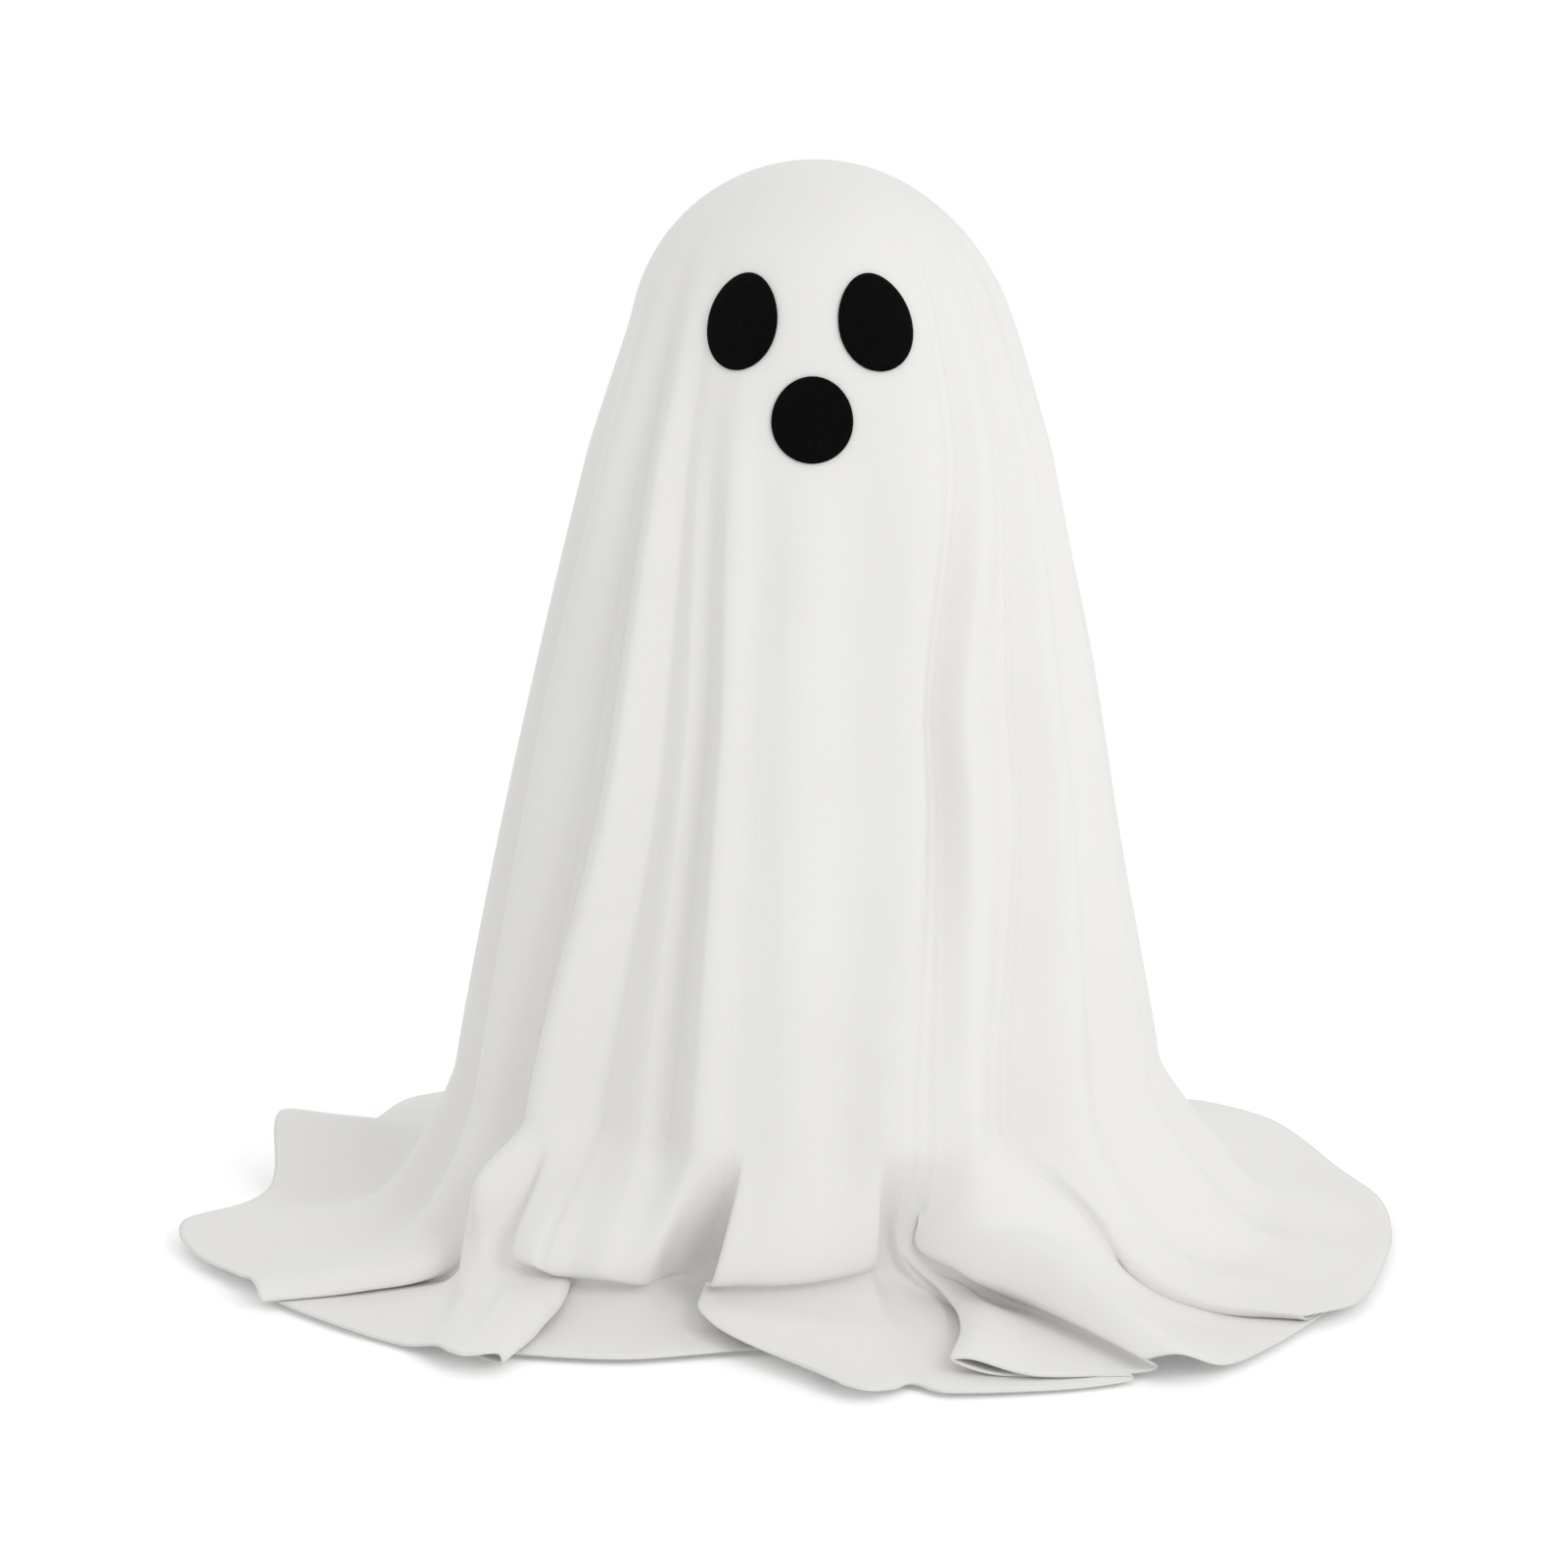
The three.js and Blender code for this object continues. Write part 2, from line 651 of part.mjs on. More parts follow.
// The least gap between stretches of one wire that lie at least apart points from each other
function leastGap(points, radius, apart) {
  let least = Infinity;
  points.forEach((p, i) => {
    points.slice(i + apart).forEach((q) => {
      least = Math.min(least, p.distanceTo(q) - 2 * radius);
    });
  });
  return least;
}

// The door: a plate with its hinge barrel, two latch tongues and a ribbed grip
function batteryDoor() {
  const half = wellHalf + DOOR_LAND;
  const front = WELL_FRONT - DOOR_LAND;
  const barrelHalf = BARREL_LENGTH / 2;
  const rear = hingeY - BARREL_RADIUS - HINGE_SWING;
  let door = block([-half, front, doorBottom], [half, rear, doorTop]);
  door = door.add(block([-barrelHalf, rear - 1, doorBottom], [barrelHalf, hingeY, doorTop]));
  door = door.add(barX(-barrelHalf, barrelHalf, hingeY, hingeZ, BARREL_RADIUS, 16));
  for (const side of [-1, 1]) {
    const [left, right] = [-1, 1].map((edge) => side * LATCH_OFFSET + (edge * LATCH_WIDTH) / 2);
    const inside = WELL_FRONT - WELL_WALL - RUN_FIT;
    const outside = inside - LATCH_THICKNESS;
    door = door
      .add(block([left, outside, doorBottom], [right, front + 1, doorTop]))
      .add(block([left, outside, doorBottom - LATCH_DROP], [right, inside, doorTop - 0.5]));
  }
  for (let i = 0; i < GRIP_RIBS; i++) {
    const y = front + 4 + 3 * i;
    door = door.add(
      block([-9, y, doorTop - GRIP_RIB_HEIGHT], [9, y + 1.2, doorTop + GRIP_RIB_HEIGHT]),
    );
  }
  return door.subtract(
    barX(
      -barrelHalf - OVERCUT,
      barrelHalf + OVERCUT,
      hingeY,
      hingeZ,
      HINGE_PIN_RADIUS + HINGE_FIT,
      SMALL,
    ),
  );
}

function hingePin() {
  const half = BARREL_LENGTH / 2 + RUN_FIT + HINGE_LUG - SEAT_GAP;
  return barX(-half, half, hingeY, hingeZ, HINGE_PIN_RADIUS, SMALL);
}

// The knob at its off position, with the stem that drives the switch
function switchKnob() {
  const x = -SWITCH_TRAVEL / 2;
  const low = BASE_TOP - SWITCH_POCKET_DEPTH + SEAT_GAP;
  const high = low + KNOB_HEIGHT;
  let knob = block(
    [x - KNOB_LENGTH / 2, SWITCH_Y - KNOB_WIDTH / 2, low],
    [x + KNOB_LENGTH / 2, SWITCH_Y + KNOB_WIDTH / 2, high - GRIP_RIB_HEIGHT],
  );
  for (let i = 0; i < KNOB_RIBS; i++) {
    const ribX = x + (i - (KNOB_RIBS - 1) / 2) * 2.4;
    knob = knob.add(
      block(
        [ribX - 0.6, SWITCH_Y - KNOB_WIDTH / 2, low + OVERCUT],
        [ribX + 0.6, SWITCH_Y + KNOB_WIDTH / 2, high],
      ),
    );
  }
  return knob.add(
    block(
      [x - STEM_LENGTH / 2, SWITCH_Y - STEM_WIDTH / 2, switchBodyTop - STEM_ENGAGES],
      [x + STEM_LENGTH / 2, SWITCH_Y + STEM_WIDTH / 2, low + OVERCUT],
    ),
  );
}

function switchBody() {
  const slot = (SWITCH_TRAVEL + STEM_LENGTH) / 2 + RUN_FIT;
  const thin = STEM_WIDTH / 2 + RUN_FIT;
  const floor = switchBodyTop - STEM_ENGAGES - RUN_FIT;
  return block(
    [-SWITCH_BODY_LENGTH / 2, SWITCH_Y - SWITCH_BODY_WIDTH / 2, boardTop + SEAT_GAP],
    [SWITCH_BODY_LENGTH / 2, SWITCH_Y + SWITCH_BODY_WIDTH / 2, switchBodyTop],
  ).subtract(
    block([-slot, SWITCH_Y - thin, floor], [slot, SWITCH_Y + thin, switchBodyTop + OVERCUT]),
  );
}

function circuitBoard() {
  let board = block(
    [-BOARD_LENGTH / 2, SWITCH_Y - BOARD_WIDTH / 2, boardBottom],
    [BOARD_LENGTH / 2, SWITCH_Y + BOARD_WIDTH / 2, boardTop],
  );
  for (const [x, y] of boardScrewPlaces()) {
    board = board.subtract(
      post(x, y, boardBottom - OVERCUT, boardTop + OVERCUT, SCREW_RADIUS + RUN_FIT),
    );
  }
  return board;
}

// A tube along Z between two heights
function tube(outer, inner, z0, z1, segments) {
  return turned(
    [
      [inner, z0],
      [outer, z0],
      [outer, z1],
      [inner, z1],
    ],
    segments,
  );
}

// The plate that carries the dome and the lamp, with a hub for the mast and radial holes for the ribs
function headPlate() {
  const spigot = DOME_RADIUS - DOME_WALL - SLIP_FIT;
  const bore = MAST_RADIUS + SLIP_FIT;
  const hub = bore + HEAD_HUB_WALL;
  const rimInside = headRadius - HEAD_RIM_WIDTH;
  let plate = turned([
    [leadHole, plateTop],
    [leadHole, plateBottom],
    [bore, plateBottom],
    [bore, plateBottom - HEAD_HUB_DEPTH],
    [hub, plateBottom - HEAD_HUB_DEPTH],
    [hub, plateBottom],
    [rimInside, plateBottom],
    [rimInside + 1, plateTop - HEAD_RIM_DEPTH],
    [headRadius - 1, plateTop - HEAD_RIM_DEPTH],
    [headRadius, plateTop - HEAD_RIM_DEPTH + 1],
    [headRadius, plateTop],
    [spigot, plateTop],
    [spigot, plateTop + HEAD_SPIGOT_HEIGHT],
    [spigot - HEAD_SPIGOT_WALL, plateTop + HEAD_SPIGOT_HEIGHT],
    [spigot - HEAD_SPIGOT_WALL, plateTop],
  ], ROUND);
  for (let i = 0; i < RIBS; i++) {
    const inside = headRadius - RIB_PLUG - RUN_FIT;
    const hole = barX(inside, headRadius + OVERCUT, 0, ribPlugHeight, RIB_RADIUS + SLIP_FIT, SMALL);
    plate = plate.subtract(hole.rotate([0, 0, ribAngle(i)]));
  }
  const grubHeight = plateBottom - HEAD_HUB_DEPTH / 2;
  return plate.subtract(barX(0, hub + OVERCUT, 0, grubHeight, GRUB_RADIUS + SLIP_FIT, SMALL));
}

function ribAngle(i) {
  return (360 * (i + 0.5)) / RIBS;
}

// A grub screw that reaches along X from the mast to the outside of what it locks
function grubScrew(hubRadius, height) {
  return barX(MAST_RADIUS + SEAT_GAP, hubRadius - SEAT_GAP, 0, height, GRUB_RADIUS, SMALL);
}

function headDome() {
  const inside = DOME_RADIUS - DOME_WALL;
  return turned(
    [
      [inside, domeRim],
      [DOME_RADIUS, domeRim],
      ...arc(0, domeCentre, DOME_RADIUS, 0, 90, 7).slice(0, -1),
      [0, domeCentre + DOME_RADIUS],
      [0, domeCentre + inside],
      ...arc(0, domeCentre, inside, 90, 0, 7).slice(1),
    ],
    ROUND,
  );
}

// A round-topped lamp with a flange, its underside at z = 0
function led() {
  const shoulder = LED_HEIGHT - LED_RADIUS;
  return turned(
    [
      [0, 0],
      [LED_RADIUS + LED_FLANGE, 0],
      [LED_RADIUS + LED_FLANGE, 1],
      [LED_RADIUS, 1],
      ...arc(0, shoulder, LED_RADIUS, 0, 90, 3).slice(0, -1),
      [0, LED_HEIGHT],
    ],
    10,
  );
}

// The frosted cap over the lamps
function diffuser() {
  const low = plateTop + SEAT_GAP;
  const inside = DIFFUSER_RADIUS - DIFFUSER_WALL;
  const bend = 8;
  const shoulder = low + DIFFUSER_HEIGHT - bend;
  return turned(
    [
      [inside, low],
      [DIFFUSER_RADIUS, low],
      ...arc(DIFFUSER_RADIUS - bend, shoulder, bend, 0, 90, 3),
      [0, low + DIFFUSER_HEIGHT],
      [0, low + DIFFUSER_HEIGHT - DIFFUSER_WALL],
      ...arc(DIFFUSER_RADIUS - bend, shoulder, bend - DIFFUSER_WALL, 90, 0, 3),
    ],
    MEDIUM,
  );
}

// A rib in the XZ plane: plugged into the head plate, bent down the form and hooked round the hoop
function rib() {
  const hook = ribFootRadius - HOOP_RADIUS;
  const outline = [
    [headRadius - RIB_PLUG, ribPlugHeight],
    [headRadius, ribPlugHeight],
    ...arc(ribTopRadius - 2.4, ribPlugHeight - 2.4, 2.4, 90, 12, 3),
    [ribRadiusAt(MIDDLE_HOOP_HEIGHT), MIDDLE_HOOP_HEIGHT],
    [ribRadiusAt(HOOP_HEIGHT + 8), HOOP_HEIGHT + 8],
    ...arc(HOOP_RADIUS, HOOP_HEIGHT, hook, 0, -180, 6),
    [HOOP_RADIUS - hook, HOOP_HEIGHT + 2],
  ];
  const points = outline.map(([r, z]) => new THREE.Vector3(r, 0, z));
  return wireThrough(points, RIB_RADIUS, 8);
}

function hoop(radius, wire, height) {
  const ring = new THREE.TorusGeometry(radius, wire, 6, ROUND);
  return solidOf(ring.translate(0, 0, height));
}

// Main folds of the sheet, round from the left side. On each fold the sheet stands out from its
// form at a ridge and lies back against it in the valley after the ridge. Directions are degrees
// from the front, at the head, the waist and the hoop; drop is how far below the crown the fold begins,
// out is how far the ridge stands out at the hoop, and the reaches are hem radii on the table.
const folds = [
  { ridge: [-90, -92, -90], valley: [-76, -80, -79], drop: 22, out: 10, reach: [176, 168] },
  { ridge: [-62, -70, -68], valley: [-50, -51, -58], drop: 16, out: 11, reach: [166, 163] },
  { ridge: [-41, -41, -50], valley: [-30, -28, -34], drop: 38, out: 12, reach: [162, 157] },
  { ridge: [-20, -21, -24], valley: [-12, -12, -15], drop: 68, out: 12, reach: [139, 128] },
  { ridge: [-5, -5, -5], valley: [14, 7, 3], drop: 86, out: 7, reach: [131, 147] },
  { ridge: [22, 17, 10], valley: [34, 24, 18], drop: 76, out: 10, reach: [156, 166] },
  { ridge: [44, 33, 25], valley: [54, 44, 33], drop: 34, out: 8, reach: [167, 172] },
  { ridge: [62, 54, 46], valley: [72, 64, 57], drop: 20, out: 10, reach: [168, 160] },
  { ridge: [80, 75, 70], valley: [91, 87, 82], drop: 16, out: 9, reach: [163, 160] },
  { ridge: [102, 99, 96], valley: [115, 112, 110], drop: 20, out: 10, reach: [163, 165] },
  { ridge: [129, 127, 125], valley: [144, 143, 141], drop: 24, out: 11, reach: [171, 163] },
  { ridge: [160, 159, 158], valley: [176, 175, 174], drop: 20, out: 10, reach: [161, 152] },
  { ridge: [193, 192, 191], valley: [209, 208, 207], drop: 24, out: 11, reach: [158, 153] },
  { ridge: [227, 226, 224], valley: [249, 247, 246], drop: 20, out: 11, reach: [174, 170] },
];

// From the hoop out to the hem: the share of the way, the height, and how much a ridge lifts it
const fallToTable = [
  { share: 0.24, z: 22, lift: 3 },
  { share: 0.5, z: 4, lift: 5 },
  { share: 1, z: 0, lift: 0 },
];

// Inside radius of the sheet where it lies on its form: the dome, then a line down to the ribs
function formRadius(z) {
  const inside = DOME_RADIUS + SHEET_EASE;
  const leaves = domeCentre + inside * Math.cos(THREE.MathUtils.degToRad(DOME_WRAP));
  if (z >= leaves) return Math.sqrt(Math.max(inside ** 2 - (z - domeCentre) ** 2, 0));
  const onRibs = (height) => ribRadiusAt(height) + RIB_RADIUS + SHEET_EASE;
  if (z <= shoulderHeight) return onRibs(z);
  const share = (leaves - z) / (leaves - shoulderHeight);
  const top = inside * Math.sin(THREE.MathUtils.degToRad(DOME_WRAP));
  return top + share * (onRibs(shoulderHeight) - top);
}

// Heights of the sheet's rings, from just under the crown to the lower hoop
function ringHeights() {
  const inside = DOME_RADIUS + SHEET_EASE;
  const overDome = [20, 40, 60].map((a) => {
    return domeCentre + inside * Math.cos(THREE.MathUtils.degToRad(a));
  });
  const wrapEnd = domeCentre + inside * Math.cos(THREE.MathUtils.degToRad(DOME_WRAP));
  return [...overDome, wrapEnd, shoulderHeight, 180, 115, HOOP_HEIGHT];
}

// A fold's direction at a height, from its directions at the head, the waist and the hoop
function directionAt([head, waist, foot], z) {
  const up = THREE.MathUtils.smoothstep(z, WAIST_LEVEL, headLevel);
  const down = THREE.MathUtils.smoothstep(WAIST_LEVEL - z, 0, WAIST_LEVEL - HOOP_HEIGHT);
  return waist + up * (head - waist) + down * (foot - waist);
}

// The four places of a fold: its ridge, two flanks and its valley, with how much each stands out
function foldPlaces(i, z) {
  const [fold, next] = [folds[i], folds[(i + 1) % folds.length]];
  const [ridge, valley] = [directionAt(fold.ridge, z), directionAt(fold.valley, z)];
  const following = directionAt(next.ridge, z) + (i + 1 === folds.length ? 360 : 0);
  const fromOwn = { out: fold.out, start: HEIGHT - fold.drop };
  const fromNext = { out: next.out, start: HEIGHT - next.drop };
  return [
    { angle: ridge, stand: 1, reach: fold.reach[0], ...fromOwn },
    { angle: (ridge + valley) / 2, stand: 0.5, reach: average(fold.reach), ...fromOwn },
    { angle: valley, stand: 0, reach: fold.reach[1], ...fromOwn },
    {
      angle: (valley + following) / 2,
      stand: 0.5,
      reach: average([fold.reach[1], next.reach[0]]),
      ...fromNext,
    },
  ];
}

function average([a, b]) {
  return (a + b) / 2;
}

// The sheet as one closed skin, with its folds and with its hem on the table
function sheetSolid() {
  const rows = ringHeights().map((z) => {
    return folds.flatMap((_, i) =>
      foldPlaces(i, z).map((place) => {
        const grown = THREE.MathUtils.smoothstep(place.start - z, 0, place.start - HOOP_HEIGHT);
        return onSheet(place.angle, formRadius(z) + place.out * place.stand * Math.sqrt(grown), z);
      }),
    );
  });
  const foot = formRadius(HOOP_HEIGHT);
  for (const { share, z, lift } of fallToTable) {
    rows.push(
      folds.flatMap((_, i) =>
        foldPlaces(i, HOOP_HEIGHT).map((place) => {
          const out = place.out * place.stand * (1 - share);
          const radius = foot + out + share * (place.reach - foot);
          return onSheet(place.angle, radius, z + lift * place.stand);
        }),
      ),
    );
  }
  const crown = new THREE.Vector3(0, 0, domeCentre + DOME_RADIUS + SHEET_EASE);
  return skin(crown, rows, SHEET_THICKNESS);
}

// A point at an angle from the front, which looks along -Y
function onSheet(angle, radius, z) {
  const a = THREE.MathUtils.degToRad(angle);
  return new THREE.Vector3(radius * Math.sin(a), -radius * Math.cos(a), z);
}

// A closed skin of even thickness over a crown point and rings of points, which lie on its inside
function skin(crown, rows, thickness) {
  const around = rows[0].length;
  const inner = [crown, ...rows.flat()];
  const faces = [];
  for (let k = 0; k < around; k++) {
    const next = (k + 1) % around;
    faces.push([0, 1 + k, 1 + next]);
    for (let row = 0; row < rows.length - 1; row++) {
      const [a, b] = [1 + row * around + k, 1 + row * around + next];
      faces.push([a, a + around, b + around], [a, b + around, b]);
    }
  }
  const surface = new THREE.BufferGeometry().setFromPoints(inner);
  surface.setIndex(faces.flat());
  surface.computeVertexNormals();
  const normals = surface.getAttribute("normal");
  const outer = inner.map((p, i) => {
    const normal = new THREE.Vector3().fromBufferAttribute(normals, i);
    return p.clone().addScaledVector(normal, thickness);
  });
  const hem = 1 + (rows.length - 1) * around;
  const closed = faces.flatMap(([a, b, c]) => [
    [a + inner.length, b + inner.length, c + inner.length],
    [a, c, b],
  ]);
  for (let k = 0; k < around; k++) {
    const [a, b] = [hem + k, hem + ((k + 1) % around)];
    closed.push([a, b, b + inner.length], [a, b + inner.length, a + inner.length]);
  }
  const skinned = new THREE.BufferGeometry().setFromPoints([...inner, ...outer]);
  skinned.setIndex(closed.flat());
  return solidOf(skinned);
}

// A felt oval that lies on the sheet: its direction from the front, height, half sizes and tilt
function feltOval(turnedBy, height, halfWidth, halfHeight, tilt) {
  const rings = 3;
  const around = 24;
  const lean = THREE.MathUtils.degToRad(tilt);
  const slope = Math.atan((formRadius(height - 4) - formRadius(height + 4)) / 8);
  const place = (ring, k, lift) => {
    const a = (TURN * k) / around;
    const u = (halfWidth * ring * Math.cos(a)) / rings;
    const v = (halfHeight * ring * Math.sin(a)) / rings;
    const across = u * Math.cos(lean) - v * Math.sin(lean);
    const along = u * Math.sin(lean) + v * Math.cos(lean);
    const z = height + along * Math.cos(slope);
    const radius = formRadius(height) - along * Math.sin(slope);
    const angle = turnedBy + THREE.MathUtils.radToDeg(Math.atan2(across, radius));
    const normal = Math.cos(Math.atan((formRadius(z - 0.5) - formRadius(z + 0.5))));
    return onSheet(angle, formRadius(z) + (SHEET_THICKNESS + lift) / normal, z);
  };
  const inner = [place(0, 0, SEAT_GAP)];
  const outer = [place(0, 0, SEAT_GAP + FELT_THICKNESS)];
  for (let ring = 1; ring <= rings; ring++) {
    for (let k = 0; k < around; k++) {
      inner.push(place(ring, k, SEAT_GAP));
      outer.push(place(ring, k, SEAT_GAP + FELT_THICKNESS));
    }
  }
  const faces = [];
  const rim = inner.length;
  const quad = (a, b, c, d) => faces.push(a, b, c, a, c, d);
  for (let k = 0; k < around; k++) {
    const next = (k + 1) % around;
    faces.push(0, 1 + next, 1 + k, rim, rim + 1 + k, rim + 1 + next);
    for (let ring = 0; ring < rings - 1; ring++) {
      const [a, b] = [1 + ring * around + k, 1 + ring * around + next];
      quad(a, b, b + around, a + around);
      quad(rim + b, rim + a, rim + a + around, rim + b + around);
    }
    const [a, b] = [1 + (rings - 1) * around + k, 1 + (rings - 1) * around + next];
    quad(a, b, b + rim, a + rim);
  }
  const oval = new THREE.BufferGeometry().setFromPoints([...inner, ...outer]);
  oval.setIndex(faces);
  return solidOf(oval);
}

function addBase() {
  add("base_pad", basePad(), "black_foam");
  add("base_cover", baseCover(), "white_plastic");
  add("base_housing", baseHousing(), "white_plastic");
  const headTop = coverBottom + SCREW_SINK + SCREW_HEAD_HEIGHT;
  coverScrewPlaces().forEach(([x, y], i) => {
    add("cover_screw_" + (i + 1), screw(SCREW_LENGTH), "zinc_steel", x, y, headTop);
  });
}

function addBatteries() {
  for (let i = 0; i < CELLS; i++) {
    const turn = nubSide(i) > 0 ? 0 : 180;
    const solid = cell().rotate([0, 0, turn]);
    add("battery_" + (i + 1), solid, "cell_sleeve", cellX(i), cellY(i), cellHeight);
    const spring = contactSpring(-nubSide(i), i);
    console.log("contact spring " + (i + 1) + ": least gap " + spring.gap.toFixed(2) + " mm");
    add("contact_spring_" + (i + 1), spring.solid, "spring_steel");
  }
  add("positive_plate", contactPlate(1, 0, 0, true), "zinc_steel");
  add("link_plate_right", contactPlate(1, 1, 2, false), "zinc_steel");
  add("link_plate_left", contactPlate(-1, 0, 1, false), "zinc_steel");
  add("negative_plate", contactPlate(-1, 2, 2, true), "zinc_steel");
  add("battery_door", batteryDoor(), "white_plastic");
  add("door_hinge_pin", hingePin(), "zinc_steel");
}

function addElectronics() {
  add("power_switch", switchKnob(), "grey_plastic");
  add("switch_body", switchBody(), "zinc_steel");
  add("circuit_board", circuitBoard(), "board_green");
  boardScrewPlaces().forEach(([x, y], i) => {
    add("board_screw_" + (i + 1), screw(7), "zinc_steel", x, y, boardBottom - SEAT_GAP);
  });
  const z = boardTop + SEAT_GAP;
  const y = SWITCH_Y + BOARD_WIDTH / 2 - CHIP_WIDTH;
  add(
    "timer_chip",
    block([-CHIP_LENGTH / 2, -CHIP_WIDTH / 2, 0], [CHIP_LENGTH / 2, CHIP_WIDTH / 2, CHIP_HEIGHT]),
    "chip_black",
    -9,
    y,
    z,
  );
  add(
    "series_resistor",
    block(
      [-RESISTOR_LENGTH / 2, -RESISTOR_WIDTH / 2, 0],
      [RESISTOR_LENGTH / 2, RESISTOR_WIDTH / 2, RESISTOR_HEIGHT],
    ),
    "chip_black",
    9,
    y,
    z,
  );
  add("capacitor", post(0, 0, 0, CAPACITOR_HEIGHT, CAPACITOR_RADIUS), "cell_sleeve", 12, SWITCH_Y - 6, z);
}

// The leads run under the compartment to the underside of the board
function addLeads() {
  const [plusX, plusY] = tagPlace(1);
  const [minusX, minusY] = tagPlace(-1);
  const tagEnd = wellFloor - TAG_DROP - SEAT_GAP;
  const boardEnd = boardBottom - SEAT_GAP;
  const run = coverTop + 5;
  const vectors = (list) => list.map(([x, y, z]) => new THREE.Vector3(x, y, z));
  const red = vectors([
    [plusX, plusY, tagEnd],
    [plusX, plusY, tagEnd - 1.5],
    [plusX, plusY - 4, run],
    [plusX - 1, plusY - 16, run],
    [17, -20, run],
    [11, -29, run + 1],
    [10, -32, boardEnd - 4],
    [10, -32, boardEnd],
  ]);
  const black = vectors([
    [minusX, minusY, tagEnd],
    [minusX, minusY, tagEnd - 1.5],
    [minusX, minusY - 4, run],
    [minusX + 1, minusY - 30, run],
    [-17, -20, run],
    [-11, -29, run + 1],
    [-10, -32, boardEnd - 4],
    [-10, -32, boardEnd],
  ]);
  add("battery_lead_red", leadThrough(red, LEAD_RADIUS, 22), "red_lead");
  add("battery_lead_black", leadThrough(black, LEAD_RADIUS, 26), "black_lead");
  const lamp = vectors([
    [0, -32, boardEnd],
    [0, -32, boardEnd - 4],
    [0, -27, run - 1],
    [0, -14, run - 2.4],
    [0, -5, run - 2],
    [0, -1, run + 1.4],
    [0, 0, SOCKET_FLOOR - SOCKET_FLOOR_THICKNESS],
    [0, 0, SOCKET_FLOOR + 8],
    [0, 0, SOCKET_FLOOR + 60],
    [0, 0, mastTop - 30],
    [0, 0, plateTop - SEAT_GAP],
  ]);
  add("lamp_lead", leadThrough(lamp, LAMP_LEAD_RADIUS, 44), "clear_lead");
}

function addMastAndHead() {
  const bore = MAST_RADIUS - MAST_WALL;
  add("mast_tube", tube(MAST_RADIUS, bore, mastBottom, mastTop, MEDIUM), "white_wire");
  add("mast_collar", mastCollar(), "white_plastic");
  add("mast_grub_screw", grubScrew(socketRadius, collarMiddle), "zinc_steel");
  add("head_plate", headPlate(), "frosted_plastic");
  const hub = MAST_RADIUS + SLIP_FIT + HEAD_HUB_WALL;
  add("head_grub_screw", grubScrew(hub, plateBottom - HEAD_HUB_DEPTH / 2), "zinc_steel");
  add("led_board", post(0, 0, ledBoardBottom, ledBoardTop, LED_BOARD_RADIUS, MEDIUM), "white_plastic");
  for (let i = 0; i < LEDS; i++) {
    const a = (TURN * i) / LEDS;
    const [x, y] = [LED_CIRCLE * Math.cos(a), LED_CIRCLE * Math.sin(a)];
    add("led_" + (i + 1), led(), "led_amber", x, y, ledBoardTop + SEAT_GAP);
  }
  add("led_diffuser", diffuser(), "frosted_plastic");
  add("head_dome", headDome(), "frosted_plastic");
}

function addForm() {
  for (let i = 0; i < RIBS; i++) {
    add("frame_rib_" + (i + 1), rib().rotate([0, 0, ribAngle(i)]), "white_wire");
  }
  const middle = ribRadiusAt(MIDDLE_HOOP_HEIGHT) - RIB_RADIUS - SEAT_GAP - MIDDLE_HOOP_WIRE;
  add("middle_hoop", hoop(middle, MIDDLE_HOOP_WIRE, MIDDLE_HOOP_HEIGHT), "white_wire");
  add("lower_hoop", hoop(HOOP_RADIUS, HOOP_WIRE, HOOP_HEIGHT), "white_wire");
}

function addSheet() {
  add("ghost_sheet", sheetSolid(), "white_cloth");
  const eye = (side) => {
    const turnedBy = FACE_TURN + side * EYE_TURN;
    return feltOval(turnedBy, eyeHeight, EYE_HALF_WIDTH, EYE_HALF_HEIGHT, side * EYE_TILT);
  };
  const mouth = feltOval(FACE_TURN, mouthHeight, MOUTH_HALF_WIDTH, MOUTH_HALF_HEIGHT, 0);
  add("left_eye_patch", eye(-1), "black_felt");
  add("right_eye_patch", eye(1), "black_felt");
  add("mouth_patch", mouth, "black_felt");
}

addBase();
addBatteries();
addElectronics();
addLeads();
addMastAndHead();
addForm();
addSheet();

export default ghost;
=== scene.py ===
# %% [markdown]
# # A sheet ghost that lights up
# The object is a table decoration: a white cloth ghost that hangs over a lamp on a mast.
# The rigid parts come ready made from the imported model. This file gives them their finishes,
# and replaces the plain cloth by cloth with real folds, which is the piece that people see.
# Everything is in metres, +Z is up, the face looks along -Y, and the origin is on the table.

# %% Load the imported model
import json
import math

